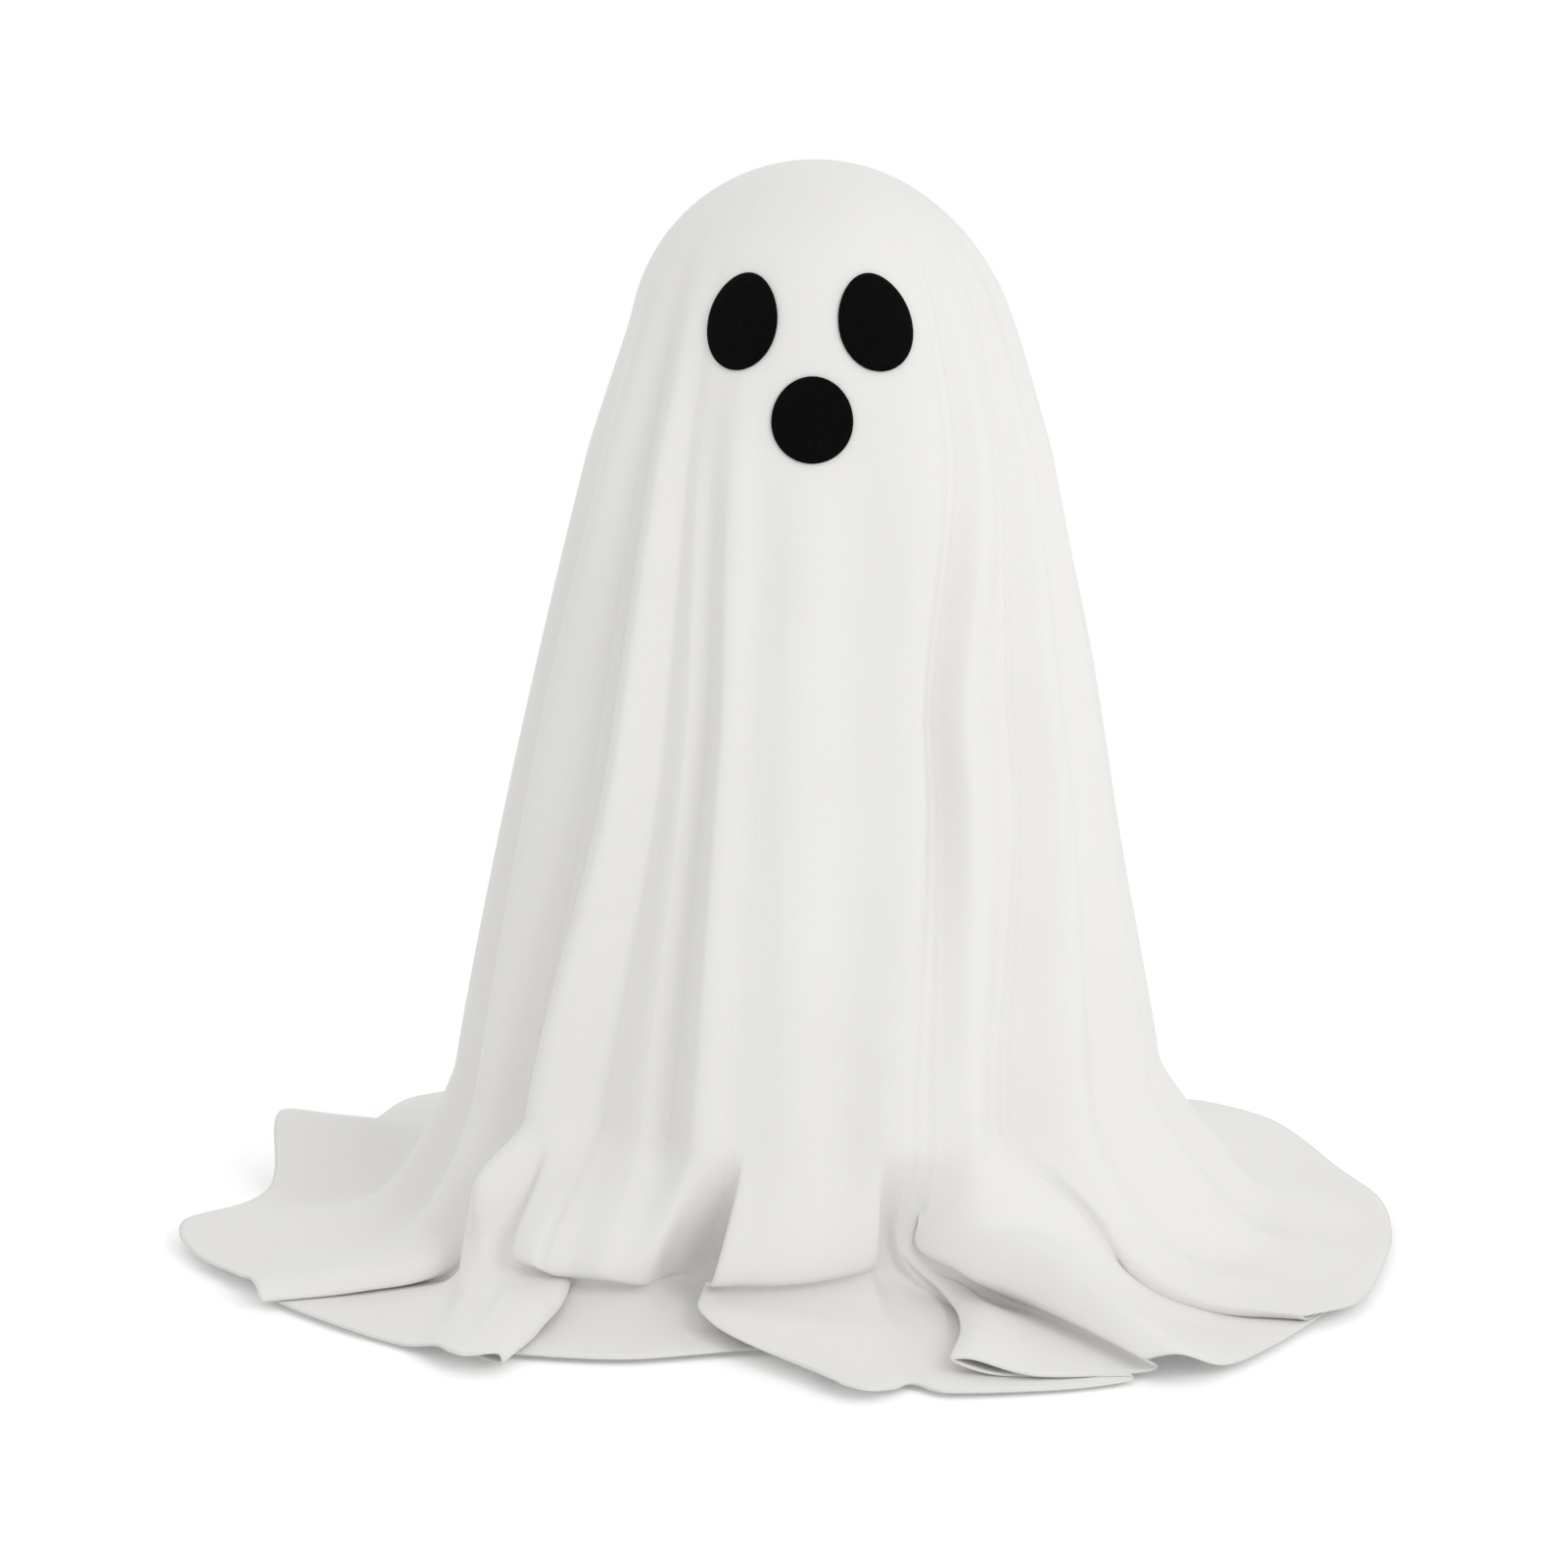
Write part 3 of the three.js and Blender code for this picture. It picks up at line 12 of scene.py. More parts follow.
import bpy
import numpy as np
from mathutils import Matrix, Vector


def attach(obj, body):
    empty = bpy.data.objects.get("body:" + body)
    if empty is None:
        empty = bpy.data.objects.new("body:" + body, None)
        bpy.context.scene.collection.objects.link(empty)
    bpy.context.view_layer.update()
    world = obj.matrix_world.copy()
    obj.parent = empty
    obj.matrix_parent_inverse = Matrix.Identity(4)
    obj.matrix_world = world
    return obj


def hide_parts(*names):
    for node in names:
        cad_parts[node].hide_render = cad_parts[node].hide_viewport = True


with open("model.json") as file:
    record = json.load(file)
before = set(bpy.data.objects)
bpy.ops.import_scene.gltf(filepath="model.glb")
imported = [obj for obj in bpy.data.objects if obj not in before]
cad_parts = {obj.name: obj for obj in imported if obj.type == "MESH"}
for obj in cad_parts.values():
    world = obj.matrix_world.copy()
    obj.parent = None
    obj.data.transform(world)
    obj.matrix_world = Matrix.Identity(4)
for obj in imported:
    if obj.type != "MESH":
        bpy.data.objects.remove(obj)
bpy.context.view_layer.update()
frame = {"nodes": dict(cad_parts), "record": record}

# %% [markdown]
# ## The camera
# The photograph was taken from the front with a long lens, looking a little down.
# A long lens keeps the sides of the cone straight, so the distance and the lens are set together.
# The camera aims slightly to the left of the mast, because the hem spreads further on the left.

# %% The photograph's camera
CAMERA_DISTANCE = 1.5275
CAMERA_ELEVATION = math.radians(11.1)
CAMERA_AIM = Vector((-0.0083, 0, 0.1281))
CAMERA_SENSOR = 36  # width in millimetres, as the lens
CAMERA_LENS = 126.96
camera_data = bpy.data.cameras.new("studio_camera")
camera_data.sensor_width = CAMERA_SENSOR
camera_data.lens = CAMERA_LENS
camera = bpy.data.objects.new("studio_camera", camera_data)
bpy.context.scene.collection.objects.link(camera)
look = Vector((0, math.cos(CAMERA_ELEVATION), -math.sin(CAMERA_ELEVATION)))
camera.location = CAMERA_AIM - CAMERA_DISTANCE * look
camera.rotation_euler = look.to_track_quat("-Z", "Y").to_euler()
bpy.context.scene.camera = camera
print("camera at", [round(x, 3) for x in camera.location])

# %% [markdown]
# ## The light
# White cloth shows its folds only by soft differences of light. A white world fills the shadows,
# one large lamp in front on the right gives the folds their bright sides, and weaker ones light
# the right side and the back. Together they are at the level at which a colour renders about as
# it is written.
# The camera sees the world as plain white, and so do reflections.

# %% Lamps and world
FILL_STRENGTH = 0.80
SEEN_STRENGTH = 1.0
LAMP_AIM = Vector((0, 0, 0.12))
scene = bpy.context.scene
scene.view_settings.view_transform = "Standard"
world = bpy.data.worlds.new("studio")
world.use_nodes = True
scene.world = world


def linked(tree, *pairs):
    """Links each output to the input that is named with it."""
    for source, target in pairs:
        tree.links.new(source, target)


def seen_directly(tree):
    """1 for what the camera sees straight on, in a reflection or through clear plastic, else 0."""
    rays = tree.nodes.new("ShaderNodeLightPath").outputs
    value = rays["Is Camera Ray"]
    for other in (rays["Is Glossy Ray"], rays["Is Transmission Ray"]):
        largest = tree.nodes.new("ShaderNodeMath")
        largest.operation = "MAXIMUM"
        linked(tree, (value, largest.inputs[0]), (other, largest.inputs[1]))
        value = largest.outputs[0]
    return value


def white_light(tree, strength):
    """A plain white background of one strength."""
    light = tree.nodes.new("ShaderNodeBackground")
    light.inputs["Color"].default_value = (1, 1, 1, 1)
    light.inputs["Strength"].default_value = strength
    return light.outputs[0]


tree = world.node_tree
tree.nodes.clear()
choose = tree.nodes.new("ShaderNodeMixShader")
world_out = tree.nodes.new("ShaderNodeOutputWorld")
linked(
    tree,
    (seen_directly(tree), choose.inputs[0]),
    (white_light(tree, FILL_STRENGTH), choose.inputs[1]),
    (white_light(tree, SEEN_STRENGTH), choose.inputs[2]),
    (choose.outputs[0], world_out.inputs["Surface"]),
)


def soft_lamp(name, place, size, power):
    """A square lamp that points at the middle of the ghost."""
    lamp = bpy.data.lights.new(name, "AREA")
    lamp.size = size
    lamp.energy = power
    stand = bpy.data.objects.new(name, lamp)
    stand.location = place
    stand.rotation_euler = (LAMP_AIM - Vector(place)).to_track_quat("-Z", "Y").to_euler()
    scene.collection.objects.link(stand)


soft_lamp("key_lamp", place=(0.9, -1.4, 1.0), size=0.7, power=6.5)
soft_lamp("side_lamp", place=(1.6, 0.1, 0.7), size=0.8, power=1.4)
soft_lamp("back_lamp", place=(-0.9, 1.4, 0.9), size=0.8, power=2.5)

# %% [markdown]
# ## The floor
# The floor is a pale sweep. Near the ghost it takes real shadow. Further out it turns into plain
# white, so that no horizon shows behind the figure.

# %% A pale floor that fades to white
FLOOR_HALF = 4.0
SHADOW_KEPT = 0.30  # metres from the middle to where the floor starts to fade
SHADOW_GONE = 0.75
FLOOR_WHITE = 0.93
FLOOR_LIFT = 0.22  # light of its own, which keeps the shadow pale


def table_square(name, half):
    """A flat square at table height, as an object."""
    mesh = bpy.data.meshes.new(name)
    corners = [(x * half, y * half, 0) for x, y in ((-1, -1), (1, -1), (1, 1), (-1, 1))]
    mesh.from_pydata(corners, [], [(0, 1, 2, 3)])
    square = bpy.data.objects.new(name, mesh)
    scene.collection.objects.link(square)
    return square


floor = table_square("floor", FLOOR_HALF)
paper = bpy.data.materials.new("paper_floor")
paper.use_nodes = True
tree = paper.node_tree
tree.nodes.clear()
lit = tree.nodes.new("ShaderNodeBsdfDiffuse")
lit.inputs["Color"].default_value = (FLOOR_WHITE, FLOOR_WHITE, FLOOR_WHITE, 1)
lift = tree.nodes.new("ShaderNodeEmission")
lift.inputs["Strength"].default_value = FLOOR_LIFT
lifted = tree.nodes.new("ShaderNodeAddShader")
plain = tree.nodes.new("ShaderNodeEmission")
place = tree.nodes.new("ShaderNodeTexCoord")
distance = tree.nodes.new("ShaderNodeVectorMath")
distance.operation = "LENGTH"
fade = tree.nodes.new("ShaderNodeMapRange")
fade.interpolation_type = "SMOOTHSTEP"
fade.inputs["From Min"].default_value = SHADOW_KEPT
fade.inputs["From Max"].default_value = SHADOW_GONE
out_of_the_way = tree.nodes.new("ShaderNodeMixShader")
choose = tree.nodes.new("ShaderNodeMixShader")
floor_out = tree.nodes.new("ShaderNodeOutputMaterial")
linked(
    tree,
    (place.outputs["Object"], distance.inputs[0]),
    (distance.outputs["Value"], fade.inputs["Value"]),
    (lit.outputs[0], lifted.inputs[0]),
    (lift.outputs[0], lifted.inputs[1]),
    (fade.outputs["Result"], out_of_the_way.inputs[0]),
    (lifted.outputs[0], out_of_the_way.inputs[1]),
    (plain.outputs[0], out_of_the_way.inputs[2]),
    (seen_directly(tree), choose.inputs[0]),
    (lit.outputs[0], choose.inputs[1]),
    (out_of_the_way.outputs[0], choose.inputs[2]),
    (choose.outputs[0], floor_out.inputs["Surface"]),
)
floor.data.materials.append(paper)
print("floor:", 2 * FLOOR_HALF, "m wide")

# %% [markdown]
# ## The shape that the cloth hangs on
# Under the cloth is a half sphere on top of a cone of wires. The cloth's inside line in section is
# the dome down to where a straight line to the shoulder touches it, that line, and then the line
# of the wires.
# Writing it as one function of height lets every later step ask how far out the form is.

# %% Section of the form under the cloth
CROWN = 0.300
DOME_RADIUS = 0.0505
DOME_CENTRE = CROWN - DOME_RADIUS
LEAVES_DOME = math.radians(76.3)  # from the crown
WRAP_END = DOME_CENTRE + DOME_RADIUS * math.cos(LEAVES_DOME)
WRAP_RADIUS = DOME_RADIUS * math.sin(LEAVES_DOME)
SHOULDER = 0.223  # height where the straight line meets the wires
WIRE_TOP = 0.2363
WIRE_TOP_RADIUS = 0.0562
WIRE_SLOPE = 0.1724  # metres outwards for each metre down
FOOT = 0.048  # height of the lower hoop, where the hanging cloth ends and the skirt begins


def form_radius(z):
    """Radius of the form at height z, which may be an array."""
    z = np.asarray(z, float)
    over_dome = np.sqrt(np.maximum(DOME_RADIUS**2 - (z - DOME_CENTRE) ** 2, 0))
    down_wires = WIRE_TOP_RADIUS + (WIRE_TOP - z) * WIRE_SLOPE
    shoulder_radius = WIRE_TOP_RADIUS + (WIRE_TOP - SHOULDER) * WIRE_SLOPE
    share = (WRAP_END - z) / (WRAP_END - SHOULDER)
    bridge = WRAP_RADIUS + share * (shoulder_radius - WRAP_RADIUS)
    return np.where(z >= WRAP_END, over_dome, np.where(z < SHOULDER, down_wires, bridge))


print("form radius at the foot:", round(float(form_radius(FOOT)) * 1000, 1), "mm")

# %% [markdown]
# ## The hanging folds
# Each fold is a ridge with a valley on its right. Cloth folds start where the dome turns steep,
# wander a little on the way down, and stand out most at the foot. So a fold is written as three
# directions for its ridge and three for its valley, at the head, the waist and the foot, with the
# height where it starts and how far it stands out. Some valleys don't reach the form, so a dip
# says how far out they stay at the same three heights. Directions are degrees from the front,
# positive to the right of the face, and distances are in millimetres. A cosine between ridge and
# valley keeps the cloth round.

# %% The fifteen folds
HEAD, WAIST, LOW = 0.240, 0.150, 0.045  # heights of a fold's three directions
FOLDS = [
    {"ridge": (-90, -92, -90), "valley": (-76, -80, -79), "start": 0.256, "out": 11.5, "dip": (0, 0, 0)},
    {"ridge": (-62, -68, -68), "valley": (-50, -51, -58), "start": 0.286, "out": 11, "dip": (0, 0, 0)},
    {"ridge": (-42, -41, -50), "valley": (-35, -34, -40), "start": 0.276, "out": 12, "dip": (0, 1, 1)},
    {"ridge": (-32, -28, -30), "valley": (-29, -24, -26), "start": 0.230, "out": 3.5, "dip": (0, 0, 0)},
    {"ridge": (-21, -18, -18), "valley": (-12, -11, -11), "start": 0.250, "out": 12, "dip": (1, 8, 9)},
    {"ridge": (-4, -5, -4), "valley": (9, 7, 4), "start": 0.230, "out": 10, "dip": (1, 7, 7)},
    {"ridge": (31, 20, 11), "valley": (39, 25, 18), "start": 0.280, "out": 10.5, "dip": (0, 0, 8)},
    {"ridge": (47, 31, 25), "valley": (56, 45, 33), "start": 0.276, "out": 10, "dip": (0, 1, 0)},
    {"ridge": (64, 54, 46), "valley": (73, 65, 57), "start": 0.286, "out": 11, "dip": (1, 3, 3)},
    {"ridge": (81, 75, 70), "valley": (91, 87, 82), "start": 0.292, "out": 9, "dip": (1, 3, 3)},
    {"ridge": (102, 99, 96), "valley": (115, 112, 110), "start": 0.290, "out": 9, "dip": (0, 0, 0)},
    {"ridge": (129, 127, 125), "valley": (144, 143, 141), "start": 0.276, "out": 11, "dip": (0, 0, 0)},
    {"ridge": (160, 159, 158), "valley": (176, 175, 174), "start": 0.280, "out": 10, "dip": (0, 0, 0)},
    {"ridge": (193, 192, 191), "valley": (209, 208, 207), "start": 0.276, "out": 11, "dip": (0, 0, 0)},
    {"ridge": (227, 226, 224), "valley": (249, 247, 246), "start": 0.280, "out": 11, "dip": (0, 0, 0)},
]


def eased(x, low, high):
    """0 at low, 1 at high, with a soft start and end."""
    share = np.clip((x - low) / (high - low), 0, 1)
    return share * share * (3 - 2 * share)


def at_height(track, z):
    """A direction or distance at height z, from its values at the head, the waist and the foot."""
    head, waist, foot = track
    return waist + (head - waist) * eased(z, WAIST, HEAD) + (foot - waist) * eased(z, WAIST, LOW)


def fold_marks(z):
    """Direction and stand-out of every ridge and valley at height z, and of one more at each end."""
    marks = []
    for fold in FOLDS:
        grown = math.sqrt(eased(z, fold["start"], FOOT))
        marks.append((at_height(fold["ridge"], z), fold["out"] / 1000 * grown))
        marks.append((at_height(fold["valley"], z), at_height(fold["dip"], z) / 1000 * grown))
    marks = np.array(marks)
    return np.vstack([marks[-1] - (360, 0), marks, marks[0] + (360, 0)])


FULLNESS = 0.0026  # the cloth hangs this much looser on the right side
FULLEST = 92  # the direction in which it hangs loosest
FULL_TOP = (0.248, 0.292)  # heights between which the fullness begins
FULL_END = (0.095, 0.175)  # heights between which it ends


def looser(direction, z):
    """The extra stand-out of the right side, which starts high on the head and ends below the waist."""
    towards_right = np.maximum(np.cos(np.radians(direction - FULLEST)), 0) ** 2
    return FULLNESS * towards_right * (1 - eased(z, *FULL_TOP)) * eased(z, *FULL_END)


def stand_out(direction, z):
    """How far the cloth stands out from the form, in metres."""
    marks = fold_marks(z)
    turned = (direction - marks[0, 0]) % 360 + marks[0, 0]
    i = np.clip(np.searchsorted(marks[:, 0], turned, side="right") - 1, 0, len(marks) - 2)
    share = (turned - marks[i, 0]) / (marks[i + 1, 0] - marks[i, 0])
    folds = marks[i, 1] + (0.5 - 0.5 * np.cos(np.pi * share)) * (marks[i + 1, 1] - marks[i, 1])
    return folds + looser(direction, z)


def followed_up(foot_direction, z):
    """Where the thread at foot_direction at the foot lies at height z, as it follows the folds."""
    at_foot, here = fold_marks(FOOT), fold_marks(z)
    turned = (foot_direction - at_foot[0, 0]) % 360 + at_foot[0, 0]
    return np.interp(turned, at_foot[:, 0], here[:, 0]) + (foot_direction - turned)


def placed(direction, radius, z):
    """A point in space from a direction in degrees, a radius and a height."""
    angle = np.radians(direction)
    height = np.broadcast_to(z, np.shape(radius))
    return np.stack([radius * np.sin(angle), -radius * np.cos(angle), height], -1)


def on_body(direction, z):
    """A point of the hanging cloth."""
    return placed(direction, form_radius(z) + stand_out(direction, z), z)


print(len(FOLDS), "folds, the deepest", max(f["out"] for f in FOLDS), "mm")

# %% [markdown]
# ## The skirt on the table
# Below the hoop the cloth breaks like a trouser leg: it comes down to a lip, tucks back under it,
# and runs out over the table to the hem. Where there is too much cloth it doubles back on itself,
# so one layer lies over the next. The skirt has a line wherever the cloth
# changes its mind: ridges, valleys, the visible edge of each overlap, and the hidden fold behind it.
# A line is where it leaves the hoop, then the lip, the tuck, the run and the hem,
# each as direction in degrees, radius in millimetres and height in millimetres.

# %% The lines of the skirt
SKIRT_LINES = [
    ("left ridge", -90, (-90, 112, 24), (-90, 124, 10), (-89, 146, 5), (-88, 177, 3)),
    ("left valley", -79, (-80, 105, 18), (-80, 117, 7), (-79, 140, 3), (-78, 174, 2.4)),
    ("outer ridge", -68, (-69, 110, 22), (-68, 122, 9.5), (-68, 143, 4.2), (-69.5, 167, 3)),
    ("left lobe edge", -62, (-63, 105, 17), (-61, 117, 9), (-62, 141, 6.8), (-63.5, 168, 5.6)),
    ("left lobe under", -60.5, (-61, 103.5, 15.5), (-59.8, 116.5, 4.8), (-60.6, 141, 1.5), (-62, 168, 1.4)),
    ("left hidden", -59.3, (-59.6, 102.5, 15), (-60.5, 113, 3), (-66, 138, 1.1), (-70, 162, 1.1)),
    ("left under 1", -58.2, (-58.4, 102, 15), (-58.5, 112, 3.2), (-63, 136, 0.8), (-64, 163, 0.8)),
    ("left under 2", -57, (-57, 102, 16.5), (-56.5, 113, 6), (-55, 135, 1), (-53, 160, 0.8)),
    ("left under 3", -55.3, (-56, 103, 21), (-55, 114.5, 10), (-49.5, 131, 2.5), (-43.5, 158.5, 1)),
    ("bump left", -53, (-55, 109, 32), (-54.5, 116.5, 15), (-46.5, 131, 6.5), (-38.5, 161, 4.5)),
    ("bump", -50, (-51, 116, 34), (-50.5, 117, 18), (-44, 130, 7.5), (-36.5, 164, 5.5)),
    ("bump crease", -47, (-46.5, 106.5, 29), (-46.8, 113.5, 15.5), (-42, 129, 7.5), (-35, 166, 5.5)),
    ("lip start", -44.5, (-43.5, 118, 19), (-43.4, 114, 13.5), (-39, 129, 9), (-33, 166, 5)),
    ("tongue edge", -41, (-39.5, 119, 18), (-37.5, 109, 12.5), (-32.8, 131, 7.5), (-30.5, 159, 4.5)),
    ("tongue under", -39.5, (-38.3, 118, 17.2), (-36.8, 108, 10.8), (-32.4, 130.5, 3.8), (-30.3, 158, 1.6)),
    ("tongue hidden", -38, (-37, 117, 16.8), (-37.3, 107, 9.8), (-38, 124, 3.8), (-37, 152, 1.1)),
    ("middle under 1", -36, (-34.5, 114.5, 16.3), (-35, 105.5, 10), (-35.5, 121, 3.6), (-34, 148, 0.8)),
    ("middle under 2", -30, (-29.5, 112, 15.5), (-30, 102, 9.8), (-27, 117, 4.2), (-21, 137, 0.8)),
    ("drop fold", -19.5, (-25, 105, 13), (-26.5, 98, 9.3), (-22.5, 111, 4), (-14, 128, 0.8)),
    ("gap left", -16, (-24.4, 93, 13), (-25, 89, 9), (-18.5, 107, 3.7), (-8, 122, 0.8)),
    ("gap", -14, (-19, 84, 16), (-20, 86, 7.5), (-13.5, 107, 3.1), (-2, 122, 0.8)),
    ("gap hidden", -13, (-15, 84, 16), (-15.5, 87.5, 6.7), (-9, 109, 2.7), (4, 126, 1.1)),
    ("centre under", -12, (-14, 92, 17), (-16, 92, 8.2), (-13, 111.5, 4.2), (0, 141, 1.8)),
    ("centre edge", -11, (-15, 105, 15), (-17.5, 98, 10.7), (-15, 116, 7.2), (1.2, 157, 4.5)),
    ("centre 1", -8.5, (-11, 105, 16), (-12, 98, 11), (-8.5, 119, 6.8), (4, 163, 4)),
    ("centre ridge", -5, (-5, 104, 16), (-6, 97, 11.3), (0, 121, 5.5), (7, 157, 2)),
    ("centre valley", 4, (2, 101.5, 17), (2, 94.5, 12), (7, 119, 4.2), (9, 152, 1)),
    ("panel edge", 9, (8.8, 99, 19.5), (8.6, 92.5, 13), (10, 117, 3.6), (11.5, 160, 0.9)),
    ("pinch", 10.5, (10.2, 88, 21), (11, 87, 10.5), (13, 116, 3.2), (14.5, 161.5, 0.8)),
    ("right under 1", 12, (11.5, 87, 21), (14, 87.5, 9.5), (17, 117, 2.8), (19, 163, 0.8)),
    ("right under 2", 13.5, (12.5, 87, 20), (18, 89, 7), (23, 118, 2), (25, 165, 0.8)),
    ("right hidden 1", 15, (14, 89, 19.5), (22, 93, 5), (28, 119, 1.8), (30, 165, 1.1)),
    ("flap under", 16, (14.5, 89, 19.5), (22, 94, 6.5), (22, 120, 2.9), (17.5, 150, 1.4)),
    ("flap edge", 17, (15, 89, 19.5), (21, 95, 8), (18.5, 121, 6), (13.8, 146.5, 5)),
    ("flap", 18, (16, 89.5, 19.5), (25, 99, 9), (21.5, 122, 8.5), (15.5, 148.5, 5.6)),
    ("flap right", 18.6, (17, 90, 19.5), (26, 99.5, 8), (27.3, 124, 6.2), (21, 156, 1.8)),
    ("right hidden 2", 19.2, (18, 90.5, 19.5), (27.5, 103, 9.5), (30.2, 126.5, 6.4), (32, 165, 1.5)),
    ("fold under", 20, (17, 91.3, 20.5), (25, 105, 12.5), (28.7, 127, 9), (31.6, 166, 2.6)),
    ("fold edge", 21, (16.5, 91.8, 22), (21.5, 104, 16), (26.5, 125, 12.5), (30.5, 166.5, 4.6)),
    ("big fold", 25, (24, 102, 30), (29.5, 117, 25), (31.5, 144, 17), (32.5, 172, 7)),
    ("big fold flank", 29, (32, 104, 32), (36.5, 117, 19), (37, 142, 8), (37, 173, 2)),
    ("right valley", 33, (40, 106, 30), (43, 115, 13), (43, 140, 2.5), (45.5, 167, 0.8)),
    ("right hidden 3", 34.5, (42.5, 107, 26), (47, 115.5, 8), (54, 139, 1.3), (59, 161, 1)),
    ("right lobe under", 36, (43, 108, 26), (46.3, 116, 8), (49.3, 137, 1.5), (53, 162, 1.3)),
    ("right lobe edge", 38, (43.5, 110, 27), (46, 116, 14), (48.7, 136, 4.8), (52, 163, 3.5)),
    ("right lobe ridge", 46, (48, 112, 26), (53, 123, 12), (57, 142, 5), (59, 166.5, 2.5)),
    ("right lobe valley", 57, (58, 108, 22), (61, 120, 9), (64, 140, 4), (66, 164.5, 2)),
    ("side ridge", 70, (71, 114, 24), (73, 126, 11), (75, 143, 5), (77, 161.5, 2)),
    ("side valley", 82, (83, 110, 20), (84, 122, 8), (85, 140, 3), (86, 162, 1)),
    ("right end ridge", 96, (96, 115, 24), (96, 126, 11), (96, 144, 5), (97, 163, 2)),
    ("right end valley", 110, (110, 110, 20), (110, 121, 8), (110, 142, 3), (110, 164, 1)),
    ("back right ridge", 125, (125, 115, 24), (125, 126, 12), (126, 147, 7), (127, 170, 5)),
    ("back pleat edge", 133, (134, 109, 20), (134, 120, 9), (136, 143, 5.5), (137.5, 167, 4.5)),
    ("back pleat under", 134.5, (135, 108, 18), (135, 118.5, 5), (135, 143, 1.5), (136, 166.5, 1.4)),
    ("back pleat hidden", 136, (136, 107, 17), (134.5, 115, 3), (129, 139, 1.3), (126, 161, 1.2)),
    ("back pleat 1", 137.5, (137, 107, 17), (137, 114.5, 3), (134, 137, 0.8), (132, 162, 0.8)),
    ("back pleat 2", 139, (139, 107.5, 17), (139.5, 116, 4), (140, 139, 0.8), (141, 164, 0.8)),
    ("back right valley", 143, (143, 108, 18), (143, 119, 6), (144, 141, 1.6), (145, 163, 1)),
    ("back ridge 1", 158, (158, 114, 24), (158, 125, 12), (158, 143, 6), (158, 162, 3)),
    ("back valley 1", 174, (174, 112, 15), (174, 107, 5), (174, 131, 1), (174, 155, 0.8)),
    ("back ridge 2", 191, (191, 119, 19), (190.5, 112, 9), (192, 135, 2.5), (192, 159, 1.2)),
    ("back valley 2", 205, (205, 108, 17), (205, 114, 5), (206, 136, 1.2), (207, 154, 1)),
    ("left pleat 1", 209, (209, 107.5, 17), (209.5, 115, 4), (211, 138, 0.8), (213, 160, 0.8)),
    ("left pleat 2", 211, (211, 107, 17), (212, 114, 3), (216, 137, 0.8), (219, 161, 0.8)),
    ("left pleat hidden", 212.5, (212, 107, 17), (213.5, 115, 3), (220, 139, 1.3), (224, 161, 1.2)),
    ("left pleat under", 214, (213, 108, 18), (213, 118.5, 5), (213.5, 142, 1.5), (213, 166, 1.4)),
    ("left pleat edge", 215.5, (214, 109, 20), (214, 120, 9), (212.5, 143, 5.5), (211.5, 167, 4.5)),
    ("back ridge 3", 224, (224, 115, 26), (224, 127, 15), (224, 147, 9), (224, 172, 6)),
    ("flap back", 238, (237, 110, 20), (237, 120, 10), (237, 135, 8), (237, 160, 8)),
    ("flap top", 246, (247, 112, 24), (248, 122, 20), (250, 140, 20), (251, 164, 20)),
    ("flap foot", 257, (257, 108, 20), (257, 118, 9), (257, 137, 4), (257, 160, 2)),
]
print(len(SKIRT_LINES), "skirt lines, furthest hem", max(line[5][1] for line in SKIRT_LINES), "mm")

# %% [markdown]
# ## From lines to cloth
# A smooth curve through the points of a line gives its path over the table, and smooth curves
# through all the lines give the rows of the cloth. The centripetal kind of spline is used, because
# it makes a tight round turn where two points lie close together, which is what a fold edge is.
# More columns go where lines are far apart. The hanging part gets the same columns, each carried
# up along its fold, so that the whole sheet is one grid.

# %% Splines through the lines
ROWS_BETWEEN = (6, 7, 9, 10)  # foot to lip, lip to tuck, tuck to run, run to hem
COLUMN_WIDTH = 0.0045  # the widest gap between two columns
BODY_ROW = 0.006  # height of a row of the hanging part
ABOVE_FOOT = 0.014  # a line starts this far above the foot, so that it leaves in the right direction
SMALLEST_GAP = 1e-5
CROWN_ROWS = (2, 7, 13, 20, 27, 34, 41, 48, 55, 62, 69, 75, 80)  # degrees from the crown


def tangents(before, start, end, after):
    """Centripetal Catmull-Rom tangents at start and end."""
    def root_gap(a, b):
        return np.maximum(np.linalg.norm(b - a, axis=-1, keepdims=True), SMALLEST_GAP) ** 0.5

    g0, g1, g2 = root_gap(before, start), root_gap(start, end), root_gap(end, after)
    leave = (end - start) / g1 - (end - before) / (g0 + g1) + (start - before) / g0
    arrive = (after - end) / g2 - (after - start) / (g1 + g2) + (end - start) / g1
    return leave * g1, arrive * g1


def threaded(points, steps, closed):
    """Smooth curves through points[i], with steps[i] pieces on the way to the next."""
    count = len(points)
    if closed:
        padded = np.concatenate([points[-1:], points, points[:2]])
    else:
        padded = np.concatenate([2 * points[:1] - points[1:2], points, 2 * points[-1:] - points[-2:-1]])
    rows = []
    for i in range(count if closed else count - 1):
        before, start, end, after = padded[i : i + 4]
        leave, arrive = tangents(before, start, end, after)
        for k in range(steps[i]):
            t = k / steps[i]
            rows.append(
                (2 * t**3 - 3 * t**2 + 1) * start + (t**3 - 2 * t**2 + t) * leave
                + (3 * t**2 - 2 * t**3) * end + (t**3 - t**2) * arrive
            )
    if not closed:
        rows.append(points[-1])
    return np.stack(rows)


